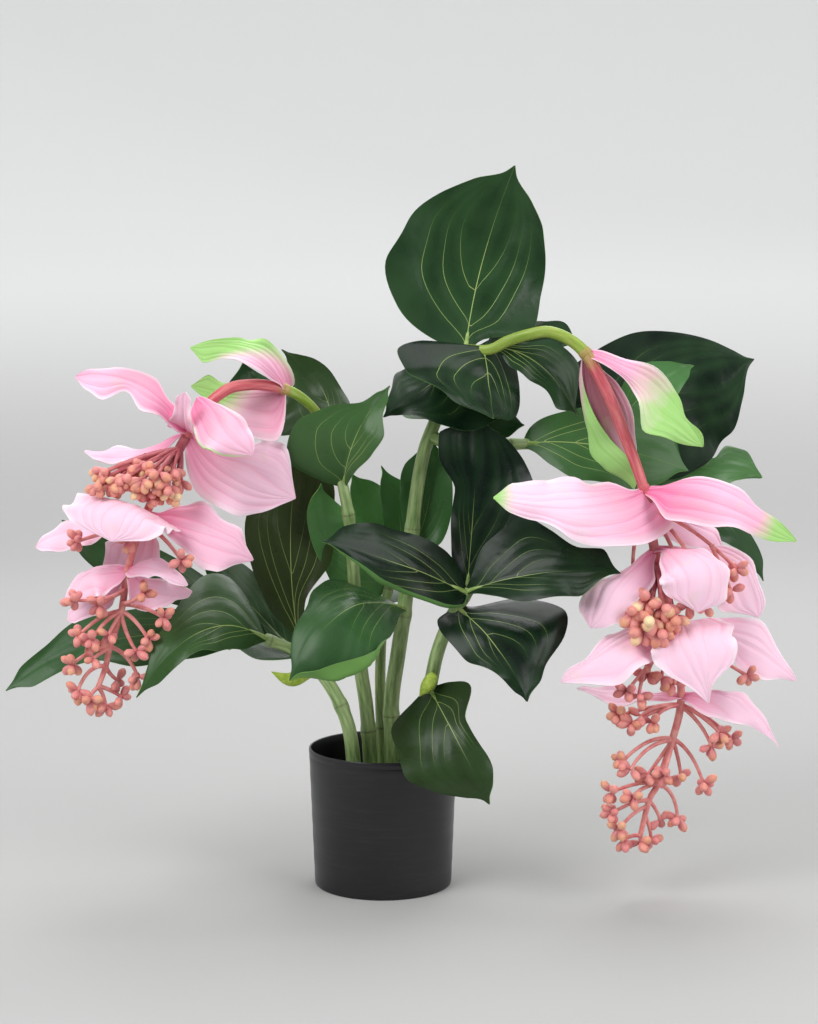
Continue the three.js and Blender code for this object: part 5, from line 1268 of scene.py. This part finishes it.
bractForm = {
    "grid": (36, 28), "foot": 4, "lobe": 0.1, "thickness": 0.7, "pleat": 0.6, "pleatWidth": 15,
    "ruffle": 2.3, "billow": 1.4, "fullWidth": 26, "collar": 6, "collarRise": 0.3, "collarWall": 0.35,
    "collarSteps": 9, "collarSides": 18,
    "ribForm": {
        "reach": 0.85, "steps": 20, "radius": 1.3, "taper": 2, "least": 0.3, "sink": 0.9, "sinkBy": 0.2,
        "sides": 8, "slot": 1, "fan": (0.5, 0, 0),
    },
}


def makeBract(name, row):
    points, u, v, width, length, normal = bladeGrid(row, bractForm)
    chance = random.Random(name)
    turns = [chance.uniform(0, 6.28) for _ in range(5)]
    reach = np.abs(v)
    calm = np.sqrt(np.sin(math.pi * u).clip(0)) * np.clip(width / bractForm["fullWidth"], 0, 1)
    # pleats with rounded backs and thin valleys fan out from the foot, and a ruffle grows at the rim
    phase = math.pi * v * width.max() / bractForm["pleatWidth"] + 0.9 * np.sin(3.5 * u + turns[0]) + turns[1]
    phase = phase + 0.9 * np.sin(0.6 * phase + 2.5 * u + turns[4])
    fan = 2 * np.abs(np.sin(phase)) ** 0.8 - 1.3
    fine = np.sin(2.7 * phase + turns[2] + 2 * u)
    ruffle = np.sin(2 * math.pi * 3.2 * u + turns[3] + 2.5 * np.sign(v)) * reach**3
    lift = bractForm["pleat"] * (fan * (1 - 0.5 * reach) + 0.3 * fine) + bractForm["ruffle"] * ruffle
    billow = bractForm["billow"] * np.sin(6 * u + turns[4]) * np.sin(2.6 * v + turns[0])
    points = points + gridNormals(points, normal) * ((lift + billow) * calm)[..., None]
    a, b, c = row.get("lime", (-9, 0, 0))
    values = {
        "blade": np.stack([u * length + 30 * turns[0], v * width + 30 * turns[1], 0 * u], -1),
        "fan": np.stack([u, v, reach], -1),
        "pleat": phase,
        "rosy": np.full(u.shape, row.get("rosy", 0)),
        "lime": smooth(a + b * u + c * v),
        # painted shade over the foot and middle of some bracts, where their inner face lies in shadow
        "dusk": row.get("dusk", 0) * (1 - smooth((u - 0.35) / 0.5)) * (1 - 0.7 * smooth(reach * 1.2 - 0.2)),
    }
    skins = bladeSkins(points, gridNormals(points, normal), bractForm["thickness"], values)
    return [skins, bladeRib(points, u, normal, bractForm["ribForm"])]


# The bracts of one whorl and the swollen collar of the stalk that they grow from.
def makeWhorl(row):
    parts = []
    for name, bract in row["bracts"].items():
        parts += makeBract(name, {**bract, "rib": [bract.get("foot", row["foot"]), *bract["rib"]]})
    source = limbRows.get(row["stalk"]) or headRows[row["stalk"].removesuffix("Rachis")]
    reach, steps = bractForm["collar"] / 2 / lengthOf(source["path"]), bractForm["collarSteps"]
    shares = np.linspace(row["at"] - reach, row["at"] + reach, steps).clip(0, 1)
    wall = bractForm["collarWall"] * np.sin(np.linspace(0.15, math.pi - 0.15, steps)) ** 0.7
    radii = spread(source["radii"], shares) + bractForm["collarRise"] + wall
    line, values = lineThrough(source["path"], shares), {"blush": row.get("blush", 1)}
    parts.append(stalk(line, radii, bractForm["collarSides"], 2, values, 0.05))
    return parts


for name, row in whorlRows.items():
    skins = [bractSkin, bractSkin, stalkSkin]
    makePiece(pieceName("whorl", name), makeWhorl(row), skins, name, 60)
print("bracts made")

budForm = {
    "length": 12.5, "radius": 4, "pedicel": 1.8, "sides": 12, "extra": 1, "crowd": 2, "droop": 0.5,
    "sizes": (0.84, 1.06), "spread": 1.35, "goldenTurn": 2.39996,
}
# Share along a bud, and share of its full radius there.
budShape = (
    (0, 0.3), (0.1, 0.62), (0.25, 0.8), (0.45, 0.97), (0.62, 1), (0.78, 0.84), (0.9, 0.5), (0.97, 0.2),
)
headForm = {"steps": 90, "sides": 16, "thicker": 1.1, "blushTo": 0.45, "ridges": 0.05}
twigForm = {
    "radii": (2.8, 2.1, 1.6), "places": (0, 0.12, 1), "steps": 14, "sides": 8, "knob": 0.5,
    "paleBlush": 0.15,
}


# One bud on its short stalk: a drop with a narrow cup and a blunt tip.
def makeBud(knob, aim, size, tone):
    root = knob + aim * budForm["pedicel"] * size
    reach, girth = np.array(budShape).T
    line = root + np.outer(reach, aim) * budForm["length"] * size
    values = {"bud": np.stack([reach, np.full(len(reach), tone), reach * 0], 1)}
    return [
        stalk(line, girth * budForm["radius"] * size, budForm["sides"], 1, values),
        stalk([knob, root + aim * 0.6], [0.95, 0.85], 6),
    ]


def makeHead(row, seed):
    chance = random.Random(seed)
    shares = np.linspace(0, 1, headForm["steps"])
    blush = 1 - smooth(shares / headForm["blushTo"])
    radii = spread(row["radii"], shares) + headForm["thicker"]
    line = lineThrough(row["path"], shares)
    parts = [stalk(line, radii, headForm["sides"], 0, {"blush": blush}, headForm["ridges"])]
    twigs = [(start, *twig) for start, *twigs in row["twigs"] for twig in twigs]
    for number, (start, control, end, count) in enumerate(twigs):
        steps = np.linspace(0, 1, twigForm["steps"])
        twig = bowThrough(start, control, end, steps)
        slim = np.interp(steps, twigForm["places"], twigForm["radii"])
        slim[-1] += twigForm["knob"]
        crowded = row["crowded"][0] <= number < row["crowded"][1]
        blush = (1 - 0.4 * steps) * (1 if crowded else twigForm["paleBlush"])
        parts.append(stalk(twig, slim, twigForm["sides"], 0, {"blush": blush}))
        axis = unit(twig[-1] - twig[-2])
        side = unit(np.cross(axis, (0.2, 0.3, 1)))
        lift = np.cross(axis, side)
        count += budForm["crowd" if crowded else "extra"]
        for k in range(count):
            lean = math.acos(1 - budForm["spread"] * (k + 0.45) / count)
            spin = budForm["goldenTurn"] * k + chance.uniform(-0.35, 0.35)
            spin += 6.28 * (chance.random() if k == 0 else 0)
            aim = axis * math.cos(lean) + (side * math.cos(spin) + lift * math.sin(spin)) * math.sin(lean)
            tone = chance.uniform(0.12, 1) if crowded else 0.75 * chance.random()
            size = chance.uniform(*budForm["sizes"]) * (row["plump"] if crowded else 1)
            aim = unit(aim) - np.array([0, 0, budForm["droop"] if crowded else 0])
            parts += makeBud(twig[-1], unit(aim), size, tone)
    whole = joined(parts)
    whole["values"]["lane"] = whole["points"] * 0.12
    return [whole]


for side, seed in (("left", 7), ("right", 11)):
    parts, skins = makeHead(headRows[side], seed), [twigSkin, budSkin]
    makePiece(pieceName("hanging", side + "Head"), parts, skins, side + "Head", 70)
print("flower heads made")

# Metres, watts and degrees: a pale seamless bowl, soft lights and the camera.
studio = {
    "floor": 2.4, "bend": 1.6, "bendSteps": 12, "height": 4.2, "sides": 96, "air": "#F2F4F6",
    "airLight": 0.62,
}
lightRows = {
    "keyLeft": {"place": (-1.9, -1.9, 2.3), "target": (0, 0, 0.35), "size": (2, 2), "power": 80},
    "fillRight": {"place": (2.3, -1.6, 1.5), "target": (0, 0, 0.3), "size": (2, 2), "power": 50},
    "topSoft": {"place": (0, 1.1, 3.2), "target": (0, 0, 0.3), "size": (1.9, 1.9), "power": 43},
    "backRim": {"place": (0.8, 2.6, 2.2), "target": (0, 0, 0.4), "size": (1.6, 1.2), "power": 20},
    "wallWash": {"place": (0, 1.6, 3.6), "target": (0, 4, 1.4), "size": (3, 1), "power": 24},
}
view = {"lens": 75.8, "sensor": 36, "reach": 60, "place": (0.0246, -2.0, 0.589), "tilt": 83.3}


# Backdrop paper, matt: pale, so that it gives soft shadows and little of its own, with painted shade on its
# floor and in front of the plant.
def makePaper():
    material, shader, add = newMaterial("matteBackdropPaper")
    place = add("TexCoord", "Object")
    _, depth, height = add("SeparateXYZ", 0, {0: place}).node.outputs
    # the sweep is a little paler than the floor: the floor's darker grey is painted shade that evens out the
    # lamps' stronger light on it
    rise = add("MapRange", 0, {
        "interpolation_type": "SMOOTHSTEP", "From Min": 0.02, "From Max": 0.6, "Value": height,
    })
    # and painted shade in front of the plant: grey there, standing in for a dim room, so that dark leaves
    # stay dark
    shaded = add("MapRange", 0, {
        "interpolation_type": "SMOOTHSTEP", "From Min": -2.4, "From Max": -0.5, "To Min": 1.0, "To Max": 0.0,
        "Value": depth,
    })
    # uneven over about 1.4 m
    cloud = add("TexNoise", "Fac", {"Scale": 0.7, "Detail": 1, "Vector": place})
    share = add("Math", 0, {"operation": "MULTIPLY_ADD", "use_clamp": True, 0: cloud, 1: 0.1, 2: rise})
    colour = add("Mix", 2, {0: share, 6: "#AEAEAD", 7: "#DADADA"})
    colour = add("Mix", 2, {0: shaded, 6: colour, 7: "#77787A"})
    setNode(shader, {"Roughness": 0.95, "IOR": 1.3, "Base Color": colour})
    return material


def makeBackdrop():
    floor, bend, steps = studio["floor"], studio["bend"], studio["bendSteps"]
    profile = [(0, 0), (0.5, 0), (1.2, 0), (floor, 0)]
    for k in range(1, steps + 1):
        a = math.pi / 2 * k / steps
        profile.append((floor + bend * math.sin(a), bend * (1 - math.cos(a))))
    profile.append((floor + bend, studio["height"]))
    bowl = turned([(r / mm, z / mm) for r, z in profile], studio["sides"])
    addObject("studioBowl", bowl, [makePaper()])


def addLight(name, row):
    light = bpy.data.lights.new(name, "AREA")
    light.shape = "RECTANGLE"
    light.size, light.size_y = row["size"]
    light.energy = row["power"]
    lamp = bpy.data.objects.new(name, light)
    lamp.location = row["place"]
    towards = Vector(row["target"]) - Vector(row["place"])
    lamp.rotation_euler = towards.to_track_quat("-Z", "Y").to_euler()
    bpy.context.scene.collection.objects.link(lamp)


makeBackdrop()
for name, row in lightRows.items():
    addLight(name, row)

world = bpy.data.worlds.new("paleRoom")
world.use_nodes = True
setNode(world.node_tree.nodes["Background"], {0: studio["air"], 1: studio["airLight"]})
bpy.context.scene.world = world
bpy.context.scene.view_settings.view_transform = "Standard"

camera = bpy.data.cameras.new("camera")
camera.lens = view["lens"]
camera.sensor_width = view["sensor"]
camera.clip_end = view["reach"]
eye = bpy.data.objects.new("camera", camera)
eye.location = view["place"]
eye.rotation_euler = (math.radians(view["tilt"]), 0, 0)
bpy.context.scene.collection.objects.link(eye)
bpy.context.scene.camera = eye
print("studio made")
